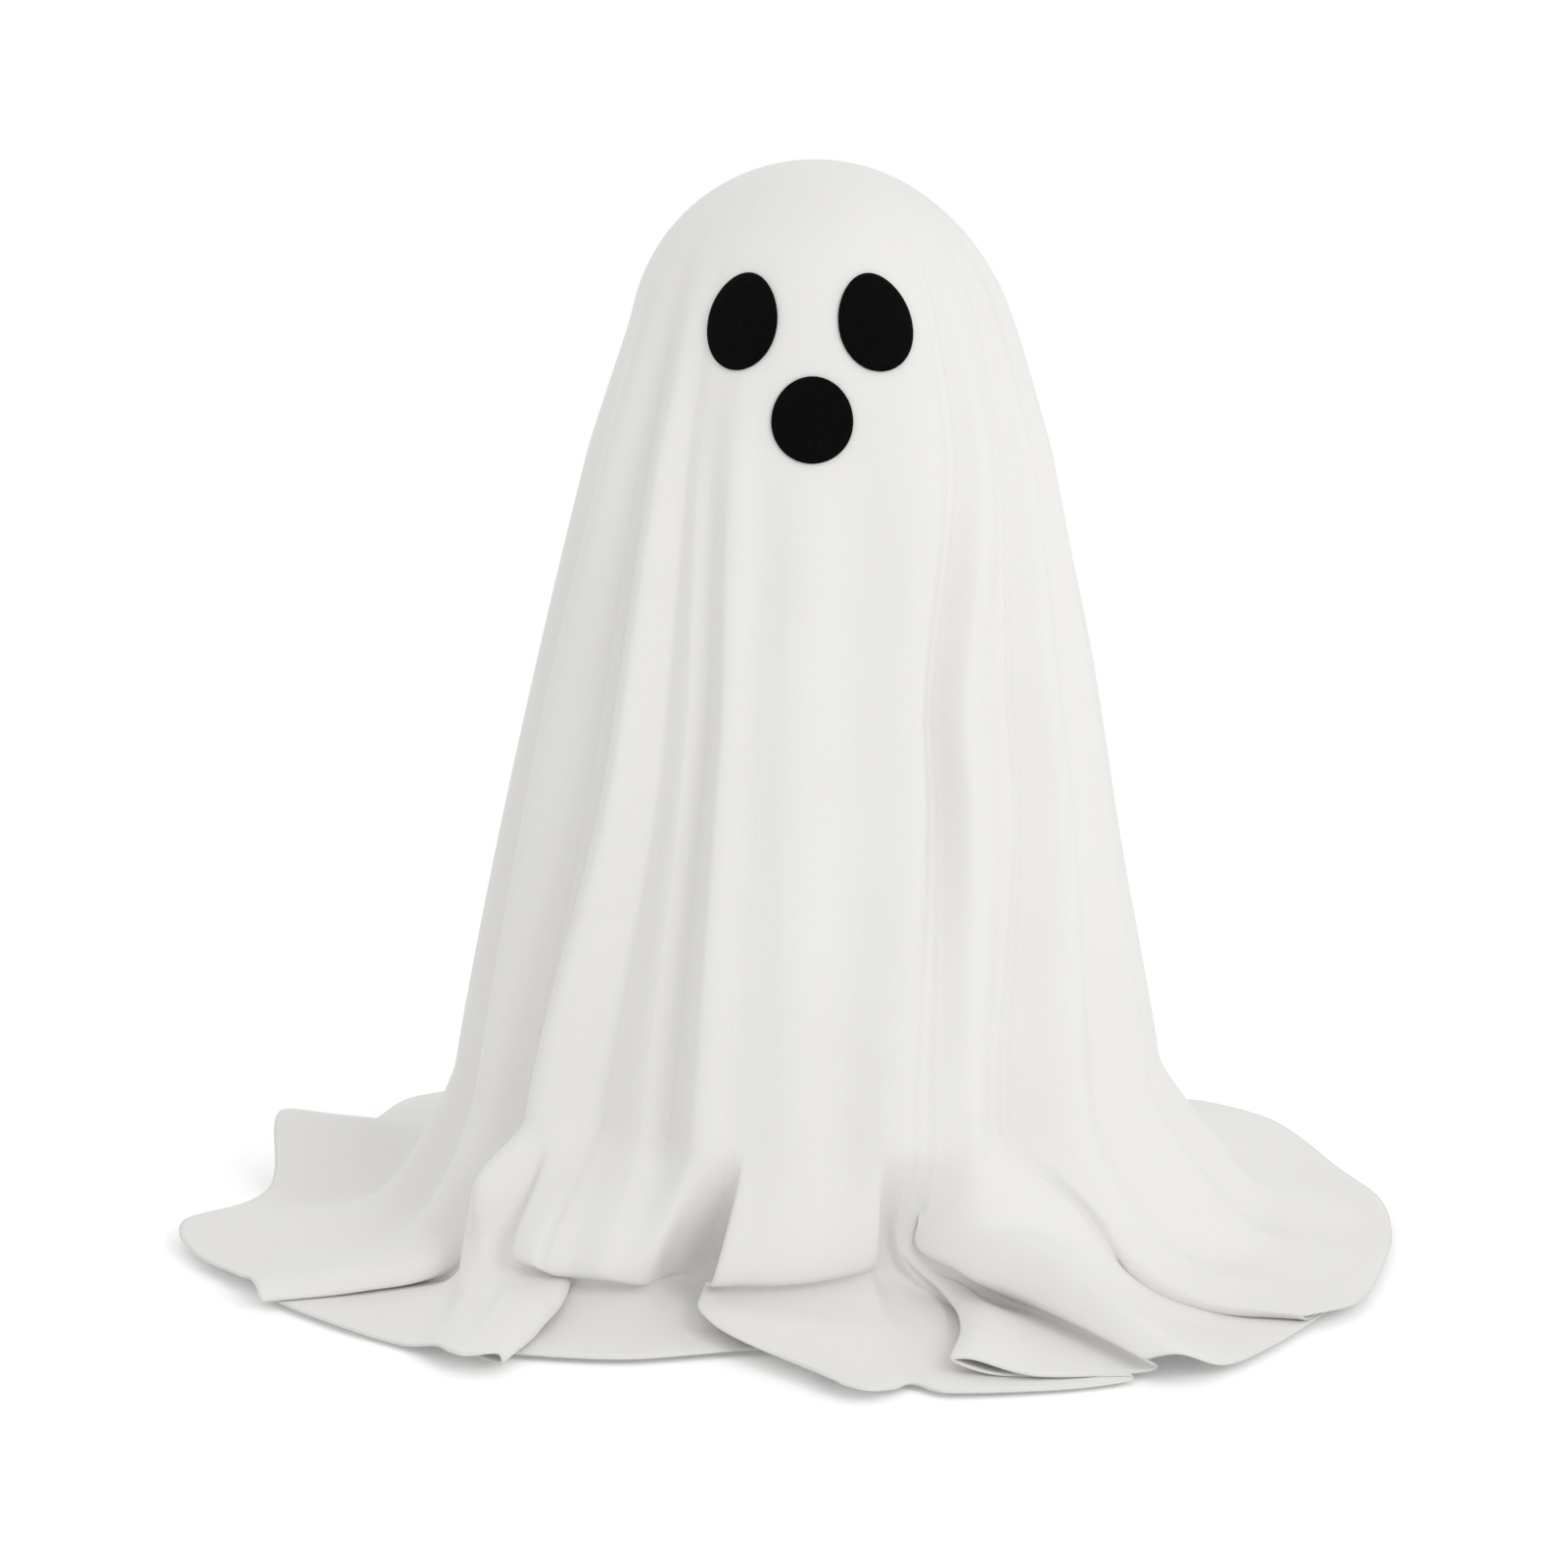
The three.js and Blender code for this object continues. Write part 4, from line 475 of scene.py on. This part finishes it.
def line_points(line):
    """The points of a skirt line, from just above the foot to the hem."""
    _, at_foot, *rest = line
    start = FOOT + ABOVE_FOOT
    above = on_body(np.array(followed_up(at_foot, start)), start)
    foot = on_body(np.array(float(at_foot)), FOOT)
    outwards = [placed(np.array(float(d)), np.array(r / 1000), z / 1000) for d, r, z in rest]
    return np.array([above, foot] + outwards)


cage = np.stack([line_points(line) for line in SKIRT_LINES], axis=1)
down = threaded(cage, (1,) + ROWS_BETWEEN, closed=False)[1:]
widest = np.linalg.norm(np.roll(down, -1, axis=1) - down, axis=-1).max(axis=0)
column_steps = [max(3, math.ceil(w / COLUMN_WIDTH)) for w in widest]
skirt = np.moveaxis(threaded(np.moveaxis(down, 1, 0), column_steps, closed=True), 1, 0)
print("skirt grid:", skirt.shape[:2], "with the widest gap after:", SKIRT_LINES[int(np.argmax(widest))][0])

# %% The hanging part on the same columns
JOIN_ROWS = 2  # over how many rows the small step between the two parts fades
SEAM = 180  # the grid begins at the back, where the sheet is sewn
foot_directions = [line[1] for line in SKIRT_LINES] + [SKIRT_LINES[0][1] + 360]
column_directions = np.concatenate([
    np.linspace(foot_directions[i], foot_directions[i + 1], steps, endpoint=False)
    for i, steps in enumerate(column_steps)
])
heights = [DOME_CENTRE + DOME_RADIUS * math.cos(math.radians(a)) for a in CROWN_ROWS]
body_rows = round((heights[-1] - FOOT) / BODY_ROW)
heights += list(np.linspace(heights[-1], FOOT, body_rows + 1)[1:])
body = np.stack([on_body(followed_up(column_directions, z), z) for z in heights])
join = (body[-1] - skirt[0])[None] * np.exp(-np.arange(1, len(skirt)) / JOIN_ROWS)[:, None, None]
cloth_grid = np.concatenate([body, skirt[1:] + join])
first_back = int(np.argmax(column_directions >= SEAM))
cloth_grid = np.roll(cloth_grid, -first_back, axis=1)
print("cloth grid:", cloth_grid.shape[0], "rows by", cloth_grid.shape[1], "columns")

# %% [markdown]
# ## Letting the skirt settle
# Drawn lines never lie quite as cloth does. A short cloth simulation lets the layers find
# their rest on the table and on each other. Every point is held softly to where it was drawn.
# The movement is then evened out between neighbours, because a fine grid would else wrinkle at
# its own scale, and no point may move further than 2 mm.

# %% A short settling simulation
SETTLE_FRAMES = 8
SETTLE_HOLD = 0.5  # how strongly the skirt is held where it leaves the hoop
SETTLE_HOLD_HEM = 0.15
SETTLE_REACH = 0.002  # the furthest that a point may move
EVEN_ACROSS, EVEN_DOWN = 60, 3  # how many times the movement is averaged with its neighbours
HELD_ROWS = 3  # the top rows of the settling piece, which stay where they are
LAYER_GAP = 0.0006
TABLE_HALF = 1.0
TABLE_FRICTION = 30
COLLISION_QUALITY = 4
SMALLEST_MOVE = 1e-9
LIGHT_WEAVE = {
    "quality": 6,
    "mass": 5e-6,  # kilograms for each point
    "air_damping": 5,
    "tension_stiffness": 15,
    "compression_stiffness": 15,
    "shear_stiffness": 10,
    "bending_stiffness": 0.2,
    "tension_damping": 5,
    "compression_damping": 5,
    "shear_damping": 5,
    "bending_damping": 2,
}


def grid_faces(rows, columns):
    """Four-cornered faces of a grid that closes on itself sideways."""
    faces = []
    for r in range(rows - 1):
        for c in range(columns):
            here, beside = r * columns + c, r * columns + (c + 1) % columns
            faces.append((here, here + columns, beside + columns, beside))
    return faces


def evened(move):
    """The movement averaged with that of neighbours, many times across and a few times down."""
    for _ in range(EVEN_ACROSS):
        move = (2 * move + np.roll(move, 1, axis=1) + np.roll(move, -1, axis=1)) / 4
    for _ in range(EVEN_DOWN):
        padded = np.concatenate([move[:1], move, move[-1:]])
        move = (2 * move + padded[:-2] + padded[2:]) / 4
    return move


def settled(points):
    """The points after a short cloth simulation on the table."""
    rows, columns = points.shape[:2]
    mesh = bpy.data.meshes.new("settling_skirt")
    mesh.from_pydata(points.reshape(-1, 3).tolist(), [], grid_faces(rows, columns))
    skirt_object = bpy.data.objects.new("settling_skirt", mesh)
    scene.collection.objects.link(skirt_object)
    held = skirt_object.vertex_groups.new(name="held")
    held.add(list(range(HELD_ROWS * columns)), 1.0, "REPLACE")
    for r in range(HELD_ROWS, rows):
        weight = SETTLE_HOLD + (SETTLE_HOLD_HEM - SETTLE_HOLD) * (r - HELD_ROWS) / (rows - 1 - HELD_ROWS)
        held.add(list(range(r * columns, (r + 1) * columns)), weight, "REPLACE")
    table = table_square("settling_table", TABLE_HALF)
    table.modifiers.new("collision", "COLLISION")
    table.collision.thickness_outer = LAYER_GAP
    table.collision.cloth_friction = TABLE_FRICTION
    cloth = skirt_object.modifiers.new("cloth", "CLOTH")
    for setting, value in LIGHT_WEAVE.items():
        setattr(cloth.settings, setting, value)
    cloth.settings.vertex_group_mass = "held"
    cloth.collision_settings.distance_min = LAYER_GAP
    cloth.collision_settings.collision_quality = COLLISION_QUALITY
    cloth.collision_settings.use_self_collision = True
    cloth.collision_settings.self_distance_min = LAYER_GAP
    cloth.point_cache.frame_end = SETTLE_FRAMES
    for number in range(1, SETTLE_FRAMES + 1):
        scene.frame_set(number)
    result = skirt_object.evaluated_get(bpy.context.evaluated_depsgraph_get()).data
    flat = np.zeros(rows * columns * 3, np.float32)
    result.vertices.foreach_get("co", flat)
    scene.frame_set(1)
    bpy.data.objects.remove(skirt_object)
    bpy.data.objects.remove(table)
    move = evened(flat.reshape(points.shape) - points)
    far = np.linalg.norm(move, axis=-1, keepdims=True)
    return points + move * np.minimum(1, SETTLE_REACH / np.maximum(far, SMALLEST_MOVE))


settles_from = len(heights) - HELD_ROWS
before = cloth_grid.copy()
cloth_grid[settles_from:] = settled(cloth_grid[settles_from:])
furthest = float(np.abs(cloth_grid - before).max())
print("settling moved points by up to", round(furthest * 1000, 1), "mm")

# %% [markdown]
# ## The cloth as a mesh
# The grid becomes one mesh with a small cap at the crown. Its texture coordinates are the flat
# pattern: a half circle that is sewn to itself down the back. Distance from the crown is the
# radius and the way round is the angle, in metres, so that the weave keeps its real size.
# The same spline as before puts new rows and columns between the old ones, which rounds the
# folds, and the cloth gets its thickness inwards.

# %% Build the sheet
CLOTH_THICKNESS = 0.0006
FIRST_RING = 0.002  # along the cloth from the crown to the first row
CROWN_LIFT = 0.0001  # the middle of the cap above the first row


def sheet_mesh(points):
    """The mesh of the cloth, with the flat pattern as its texture coordinates."""
    rows, columns = points.shape[:2]
    crown = points[0].mean(axis=0) + (0, 0, CROWN_LIFT)
    cap = [(rows * columns, c, (c + 1) % columns) for c in range(columns)]
    mesh = bpy.data.meshes.new("ghost_cloth")
    corners = points.reshape(-1, 3).tolist() + [crown.tolist()]
    mesh.from_pydata(corners, [], grid_faces(rows, columns) + cap)
    step = np.linalg.norm(np.diff(points, axis=0), axis=-1).mean(axis=1)
    path = np.concatenate([[FIRST_RING], FIRST_RING + np.cumsum(step)])
    gaps = np.linalg.norm(np.roll(points[-1], -1, axis=0) - points[-1], axis=-1)
    around = np.concatenate([[0], np.cumsum(gaps)]) / gaps.sum() * math.pi
    layer = mesh.uv_layers.new(name="flat_pattern")
    coordinates = np.zeros((len(mesh.loops), 2))
    corner = 0
    for r in range(rows - 1):
        for c in range(columns):
            for dr, dc in ((0, 0), (1, 0), (1, 1), (0, 1)):
                s, a = path[r + dr], around[c + dc]
                coordinates[corner] = (s * math.cos(a), s * math.sin(a))
                corner += 1
    layer.data.foreach_set("uv", coordinates.ravel())
    mesh.polygons.foreach_set("use_smooth", [True] * len(mesh.polygons))
    return mesh, path[-1]


def twice_as_fine(points):
    """The same surface with a row and a column more in every gap."""
    rows = threaded(points, (2,) * (len(points) - 1), closed=False)
    across = np.moveaxis(rows, 1, 0)
    return np.moveaxis(threaded(across, (2,) * len(across), closed=True), 1, 0)


cloth_mesh, hem_path = sheet_mesh(twice_as_fine(cloth_grid))
ghost_cloth = bpy.data.objects.new("ghost_cloth", cloth_mesh)
scene.collection.objects.link(ghost_cloth)
body_of_cloth = ghost_cloth.modifiers.new("thickness", "SOLIDIFY")
body_of_cloth.thickness = CLOTH_THICKNESS
body_of_cloth.offset = -1
print("crown to hem along the cloth:", round(hem_path * 1000), "mm")

# %% [markdown]
# ## Eyes and mouth
# The face is three pieces of black felt, glued on. Each is an oval that follows the cloth under it:
# its points are laid out flat, turned by the oval's lean, wrapped on to the cloth and lifted along
# the surface. The last ring drops over a rounded rim, so the felt shows its thickness.

# %% Felt ovals
FELT_GAP = 0.00025  # from the cloth to the back of the felt
FELT_TOP = 0.00125
TOP_RINGS = (0.2, 0.4, 0.6, 0.8, 0.92, 0.98, 1.0)  # shares of the oval, from the middle out
BACK_RINGS = (0.8, 0.4)
RIM_START, RIM_WIDTH, RIM_DROP = 0.92, 0.08, 0.0004  # where the top rounds over, and by how much
SIDE_SWELL, SIDE_DROP = 1.004, 0.0007  # the cut side stands out a little, below the rim
OVAL_SIDES = 96
FACE_TURN = -2.5
EYE_TURN = 20.7  # from the middle of the face
EYE_HEIGHT = 0.261
EYE_HALF = (0.0098, 0.0129)  # half the width and half the height
EYE_LEAN = 5
MOUTH_TURN = 1.6  # the mouth sits a little right of the middle between the eyes
MOUTH_HEIGHT = 0.2363
MOUTH_HALF = (0.0107, 0.0115)
NEAR_TURN, NEAR_RISE = 0.05, 0.0002  # steps that measure which way the cloth faces
SLOPE_STEP = 0.005


def wrapped(direction, z, lift):
    """A point lifted off the hanging cloth along its surface normal."""
    here = on_body(direction, z)
    along = on_body(direction + NEAR_TURN, z) - here
    up = on_body(direction, z + NEAR_RISE) - here
    normal = np.cross(along, up)
    return here + lift * normal / np.linalg.norm(normal)


def felt_oval(name, direction, z, half_size, lean):
    """A felt oval that rests on the cloth."""
    half_width, half_height = half_size
    radius = float(form_radius(z) + stand_out(np.array(float(direction)), z))
    widens = float(form_radius(z - SLOPE_STEP)) - float(form_radius(z + SLOPE_STEP))
    slope = math.hypot(1, widens / (2 * SLOPE_STEP))
    tilt = math.radians(lean)

    def point(share, angle, lift):
        x, y = share * half_width * math.sin(angle), share * half_height * math.cos(angle)
        x, y = x * math.cos(tilt) + y * math.sin(tilt), y * math.cos(tilt) - x * math.sin(tilt)
        return wrapped(np.array(direction + math.degrees(x / radius)), z + y / slope, lift)

    points, faces = [], []
    levels = [
        (ring, FELT_TOP - RIM_DROP * max(0.0, (ring - RIM_START) / RIM_WIDTH) ** 2) for ring in TOP_RINGS
    ]
    levels += [(SIDE_SWELL, FELT_TOP - SIDE_DROP), (1.0, FELT_GAP)]
    levels += [(ring, FELT_GAP) for ring in BACK_RINGS]
    for share, lift in levels:
        points += [point(share, 2 * math.pi * k / OVAL_SIDES, lift) for k in range(OVAL_SIDES)]
    for level in range(len(levels) - 1):
        for k in range(OVAL_SIDES):
            a, b = level * OVAL_SIDES + k, level * OVAL_SIDES + (k + 1) % OVAL_SIDES
            faces.append((a, a + OVAL_SIDES, b + OVAL_SIDES, b))
    points += [point(0, 0, FELT_TOP), point(0, 0, FELT_GAP)]
    top, bottom, last = len(points) - 2, len(points) - 1, (len(levels) - 1) * OVAL_SIDES
    for k in range(OVAL_SIDES):
        faces.append((top, k, (k + 1) % OVAL_SIDES))
        faces.append((bottom, last + (k + 1) % OVAL_SIDES, last + k))
    mesh = bpy.data.meshes.new(name)
    mesh.from_pydata([p.tolist() for p in points], [], faces)
    mesh.polygons.foreach_set("use_smooth", [True] * len(mesh.polygons))
    piece = bpy.data.objects.new(name, mesh)
    scene.collection.objects.link(piece)
    return piece


left_eye = felt_oval("left_eye_felt", FACE_TURN - EYE_TURN, EYE_HEIGHT, EYE_HALF, EYE_LEAN)
right_eye = felt_oval("right_eye_felt", FACE_TURN + EYE_TURN, EYE_HEIGHT, EYE_HALF, -EYE_LEAN)
mouth = felt_oval("mouth_felt", FACE_TURN + MOUTH_TURN, MOUTH_HEIGHT, MOUTH_HALF, 0)
print("felt pieces:", [round(o.dimensions.z * 1000, 1) for o in (left_eye, right_eye, mouth)], "mm high")

# %% [markdown]
# ## Finishes
# Every finish is built from nodes, because the parts have no painted pictures. The pattern is the
# same each time: a Principled shader with its fixed values on its own sockets, a slow noise that
# shifts the colour a little, and a fine texture that works as bump at the real size of the grain.

# %% Helpers for finishes
CLOUD_RANGE = (0.3, 0.7)  # the part of a slow noise that is stretched to 0 and 1
finishes = {}


class Finish:
    """A material for one slot of the record, with short ways to add nodes."""

    def __init__(self, slot, roughness, **sockets):
        self.material = bpy.data.materials.new(slot + "_finish")
        self.material.use_nodes = True
        self.nodes = self.material.node_tree.nodes
        self.links = self.material.node_tree.links
        self.shader = self.nodes["Principled BSDF"]
        self.shader.inputs["Roughness"].default_value = roughness
        for name, value in sockets.items():
            self.shader.inputs[name.replace("_", " ")].default_value = value
        self.place = self.nodes.new("ShaderNodeTexCoord").outputs["Object"]
        finishes[slot] = self.material

    def noise(self, scale, detail=3.0, where=None, stretch=None):
        """A noise whose grain is about 1/scale metres; stretch draws it out along an axis."""
        where = where or self.place
        if stretch:
            mapping = self.nodes.new("ShaderNodeMapping")
            mapping.inputs["Scale"].default_value = stretch
            self.links.new(where, mapping.inputs["Vector"])
            where = mapping.outputs[0]
        node = self.nodes.new("ShaderNodeTexNoise")
        node.inputs["Scale"].default_value = scale
        node.inputs["Detail"].default_value = detail
        self.links.new(where, node.inputs["Vector"])
        return node.outputs["Fac"]

    def ramp(self, value, low, high):
        """Stretches a value between two limits to 0 and 1."""
        node = self.nodes.new("ShaderNodeMapRange")
        node.inputs["From Min"].default_value = low
        node.inputs["From Max"].default_value = high
        self.links.new(value, node.inputs["Value"])
        return node.outputs["Result"]

    def clouds(self, scale, detail=3.0):
        """A slow noise that reaches 0 and 1, which shifts a colour a little."""
        return self.ramp(self.noise(scale, detail), *CLOUD_RANGE)

    def blend(self, share, first, second):
        """A colour between two colours."""
        node = self.nodes.new("ShaderNodeMix")
        node.data_type = "RGBA"
        for socket, value in (("A", first), ("B", second)):
            target = next(s for s in node.inputs if s.name == socket and s.type == "RGBA")
            if isinstance(value, tuple):
                target.default_value = (*value, 1)
            else:
                self.links.new(value, target)
        self.links.new(share, node.inputs["Factor"])
        return next(s for s in node.outputs if s.type == "RGBA")

    def math(self, operation, first, second):
        """One arithmetic step on two values or numbers."""
        node = self.nodes.new("ShaderNodeMath")
        node.operation = operation
        for socket, value in zip(node.inputs, (first, second)):
            if isinstance(value, (int, float)):
                socket.default_value = value
            else:
                self.links.new(value, socket)
        return node.outputs[0]

    def colour(self, value):
        """The base colour."""
        self.links.new(value, self.shader.inputs["Base Color"])

    def rough(self, value, low, high):
        """Roughness that follows a value between two levels."""
        node = self.nodes.new("ShaderNodeMapRange")
        node.inputs["To Min"].default_value = low
        node.inputs["To Max"].default_value = high
        self.links.new(value, node.inputs["Value"])
        self.links.new(node.outputs["Result"], self.shader.inputs["Roughness"])

    def bump(self, height, depth, strength=1.0):
        """Bump of a real depth in metres. A second bump is laid over the first."""
        node = self.nodes.new("ShaderNodeBump")
        node.inputs["Distance"].default_value = depth
        node.inputs["Strength"].default_value = strength
        self.links.new(height, node.inputs["Height"])
        if self.shader.inputs["Normal"].is_linked:
            self.links.new(self.shader.inputs["Normal"].links[0].from_socket, node.inputs["Normal"])
        self.links.new(node.outputs["Normal"], self.shader.inputs["Normal"])


# %% [markdown]
# ### White cloth
# The cloth is a light, soft, matt weave. Close up it has threads about 0.4 mm apart; from a step
# away it is plain white with a little sheen along the folds. The threads are two sets of waves in
# the flat pattern's coordinates, so they run as woven threads do, with the fluff as fine noise.

# %% Cloth finish
THREADS_PER_METRE = 2400
WAVES_AT_SCALE_1 = 20 / (2 * math.pi)  # the wave texture has this many waves in a metre at scale 1
THREAD_WOBBLE = 0.6
THREAD_SHADE = 0.12  # how much of the next colour the tops of the threads take on
THREAD_COLOUR = (0.80, 0.79, 0.77)
cloth = Finish("white_cloth", 0.92, Sheen_Weight=0.12, Sheen_Roughness=0.45, Specular_IOR_Level=0.25)
pattern = cloth.nodes.new("ShaderNodeTexCoord").outputs["UV"]


def thread_waves(direction):
    """Rounded ridges, one for each thread in one direction."""
    wave = cloth.nodes.new("ShaderNodeTexWave")
    wave.bands_direction = direction
    wave.inputs["Scale"].default_value = THREADS_PER_METRE / WAVES_AT_SCALE_1
    wave.inputs["Distortion"].default_value = THREAD_WOBBLE
    wave.inputs["Detail"].default_value = 1
    cloth.links.new(pattern, wave.inputs["Vector"])
    return wave.outputs["Fac"]


weave = cloth.math("MAXIMUM", thread_waves("X"), thread_waves("Y"))
slubs = cloth.noise(260, 4, where=pattern)
mottle = cloth.clouds(22, 3)
base = cloth.blend(mottle, (0.845, 0.838, 0.818), (0.825, 0.817, 0.796))
cloth.colour(cloth.blend(cloth.math("MULTIPLY", weave, THREAD_SHADE), base, THREAD_COLOUR))
cloth.bump(slubs, depth=0.00012, strength=0.5)
cloth.bump(weave, depth=0.00006, strength=0.35)
ghost_cloth.data.materials.append(cloth.material)

# %% [markdown]
# ### Black felt
# Felt is pressed fibre: nearly black, quite matt, with short tangled hairs that catch a little light.

# %% Felt finish
felt = Finish("black_felt", 1.0, Sheen_Weight=0.02, Sheen_Roughness=0.6, Specular_IOR_Level=0.05)
hairs = felt.noise(2600, 6, stretch=(1, 1, 0.35))
felt.colour(felt.blend(felt.ramp(hairs, 0.35, 0.75), (0.0014, 0.0014, 0.0015), (0.0042, 0.0042, 0.0044)))
felt.bump(hairs, depth=0.00012, strength=0.6)
for piece in (left_eye, right_eye, mouth):
    piece.data.materials.append(felt.material)

# %% [markdown]
# ### Plastics
# The base is moulded white plastic with the fine even grain of a spark-eroded mould. The dome, the
# lamp cap and the head plate are frosted, so light goes through them and comes out soft.
# The knob is dark grey, and the cells and the capacitor have a plain shrink sleeve with bare ends.

# %% Plastic finishes
SLEEVE_HALF = 0.0206  # from the middle of a cell to the end of its sleeve
white = Finish("white_plastic", 0.5, Specular_IOR_Level=0.4)
white.colour(white.blend(white.clouds(35, 4), (0.88, 0.87, 0.84), (0.86, 0.85, 0.815)))
white.rough(white.noise(60, 3), low=0.42, high=0.58)
white.bump(white.noise(2200, 2), depth=0.00003, strength=0.5)

frosted = Finish("frosted_plastic", 0.55, Transmission_Weight=0.35, IOR=1.45)
frosted.colour(frosted.blend(frosted.clouds(18, 2), (0.92, 0.9, 0.84), (0.88, 0.86, 0.79)))
frosted.rough(frosted.noise(120, 3), low=0.48, high=0.62)
frosted.bump(frosted.noise(3000, 2), depth=0.00002, strength=0.4)

grey = Finish("grey_plastic", 0.45)
grey.colour(grey.blend(grey.clouds(90, 3), (0.12, 0.12, 0.13), (0.095, 0.095, 0.105)))
grey.bump(grey.noise(2500, 2), depth=0.00003, strength=0.5)

sleeve = Finish("cell_sleeve", 0.3, Coat_Weight=0.2)
split = sleeve.nodes.new("ShaderNodeSeparateXYZ")
sleeve.links.new(sleeve.place, split.inputs[0])
end_of_cell = sleeve.math("GREATER_THAN", sleeve.math("ABSOLUTE", split.outputs["X"], 0.0), SLEEVE_HALF)
green = sleeve.blend(sleeve.clouds(70, 3), (0.04, 0.22, 0.12), (0.03, 0.18, 0.1))
sleeve.colour(sleeve.blend(end_of_cell, green, (0.66, 0.66, 0.68)))
sleeve.links.new(end_of_cell, sleeve.shader.inputs["Metallic"])
sleeve.bump(sleeve.noise(400, 3), depth=0.00004, strength=0.3)

# %% [markdown]
# ### Metals and wire
# Zinc plating is a soft grey with faint clouds. Spring wire is brighter and drawn along its length.
# The form's wires and the mast are powder coated, which leaves a slight orange peel.

# %% Metal finishes
zinc = Finish("zinc_steel", 0.35, Metallic=1.0)
clouds = zinc.clouds(140, 4)
zinc.colour(zinc.blend(clouds, (0.66, 0.67, 0.69), (0.56, 0.57, 0.58)))
zinc.rough(clouds, low=0.28, high=0.45)
zinc.bump(zinc.noise(1800, 3), depth=0.00002, strength=0.4)

spring = Finish("spring_steel", 0.2, Metallic=1.0)
drawn = spring.noise(900, 4, stretch=(1, 1, 0.2))
spring.colour(spring.blend(drawn, (0.74, 0.75, 0.77), (0.64, 0.65, 0.67)))
spring.rough(drawn, low=0.15, high=0.3)

coated = Finish("white_wire", 0.42, Coat_Weight=0.1)
coated.colour(coated.blend(coated.clouds(50, 3), (0.86, 0.85, 0.815), (0.83, 0.82, 0.78)))
coated.bump(coated.noise(700, 2), depth=0.00005, strength=0.5)

# %% [markdown]
# ### Small electric parts
# Leads have smooth PVC, the board a green mask over copper tracks, the chip a dull black package,
# the LEDs tinted epoxy, and the pad is closed-cell foam with tiny open bubbles on its face.

# %% Electric finishes
for slot, first, second in (
    ("red_lead", (0.5, 0.02, 0.015), (0.43, 0.016, 0.012)),
    ("black_lead", (0.02, 0.02, 0.02), (0.028, 0.028, 0.028)),
    ("clear_lead", (0.8, 0.79, 0.75), (0.76, 0.75, 0.7)),
    ("chip_black", (0.02, 0.02, 0.02), (0.032, 0.032, 0.034)),
):
    lead = Finish(slot, 0.35)
    lead.colour(lead.blend(lead.clouds(160, 3), first, second))
    lead.rough(lead.noise(300, 2), low=0.28, high=0.45)
    lead.bump(lead.noise(1500, 2), depth=0.00002, strength=0.3)

board = Finish("board_green", 0.35, Coat_Weight=0.3)
tracks = board.nodes.new("ShaderNodeTexBrick")
tracks.inputs["Scale"].default_value = 260
tracks.inputs["Mortar Size"].default_value = 0.06
board.links.new(board.place, tracks.inputs["Vector"])
board.colour(board.blend(tracks.outputs["Fac"], (0.02, 0.16, 0.07), (0.06, 0.26, 0.1)))
board.bump(tracks.outputs["Fac"], depth=0.00003, strength=0.5)

amber = Finish("led_amber", 0.15, Transmission_Weight=0.6, IOR=1.5)
amber.colour(amber.blend(amber.noise(400, 2), (0.9, 0.62, 0.22), (0.82, 0.55, 0.16)))
amber.bump(amber.noise(900, 1), depth=0.00001, strength=0.3)

foam = Finish("black_foam", 0.95, Specular_IOR_Level=0.2)
bubbles = foam.nodes.new("ShaderNodeTexVoronoi")
bubbles.inputs["Scale"].default_value = 1400
foam.links.new(foam.place, bubbles.inputs["Vector"])
foam.colour(foam.blend(bubbles.outputs["Distance"], (0.014, 0.014, 0.014), (0.045, 0.045, 0.045)))
foam.bump(bubbles.outputs["Distance"], depth=0.0001, strength=0.5)

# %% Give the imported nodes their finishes
slot_of = {row["node"]: row["material_slot"] for row in frame["record"]["subparts"]}
for name, node in frame["nodes"].items():
    node.material_slots[0].material = finishes[slot_of[name]]
print(len(finishes), "finishes on", len(frame["nodes"]), "nodes")

# %% [markdown]
# ## Tie the new pieces to the model
# The cloth and the felt lift off together, so they ride on the body "sheet", and each stands in
# for its plain solid. The cloth's flat pattern is a half circle of 0.39 m radius, whose straight
# edges are sewn together down the back.

# %% Ride and replace
for piece, node, slot in (
    (ghost_cloth, "ghost_sheet", "white_cloth"),
    (left_eye, "left_eye_patch", "black_felt"),
    (right_eye, "right_eye_patch", "black_felt"),
    (mouth, "mouth_patch", "black_felt"),
):
    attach(piece, "sheet")
    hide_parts(node)
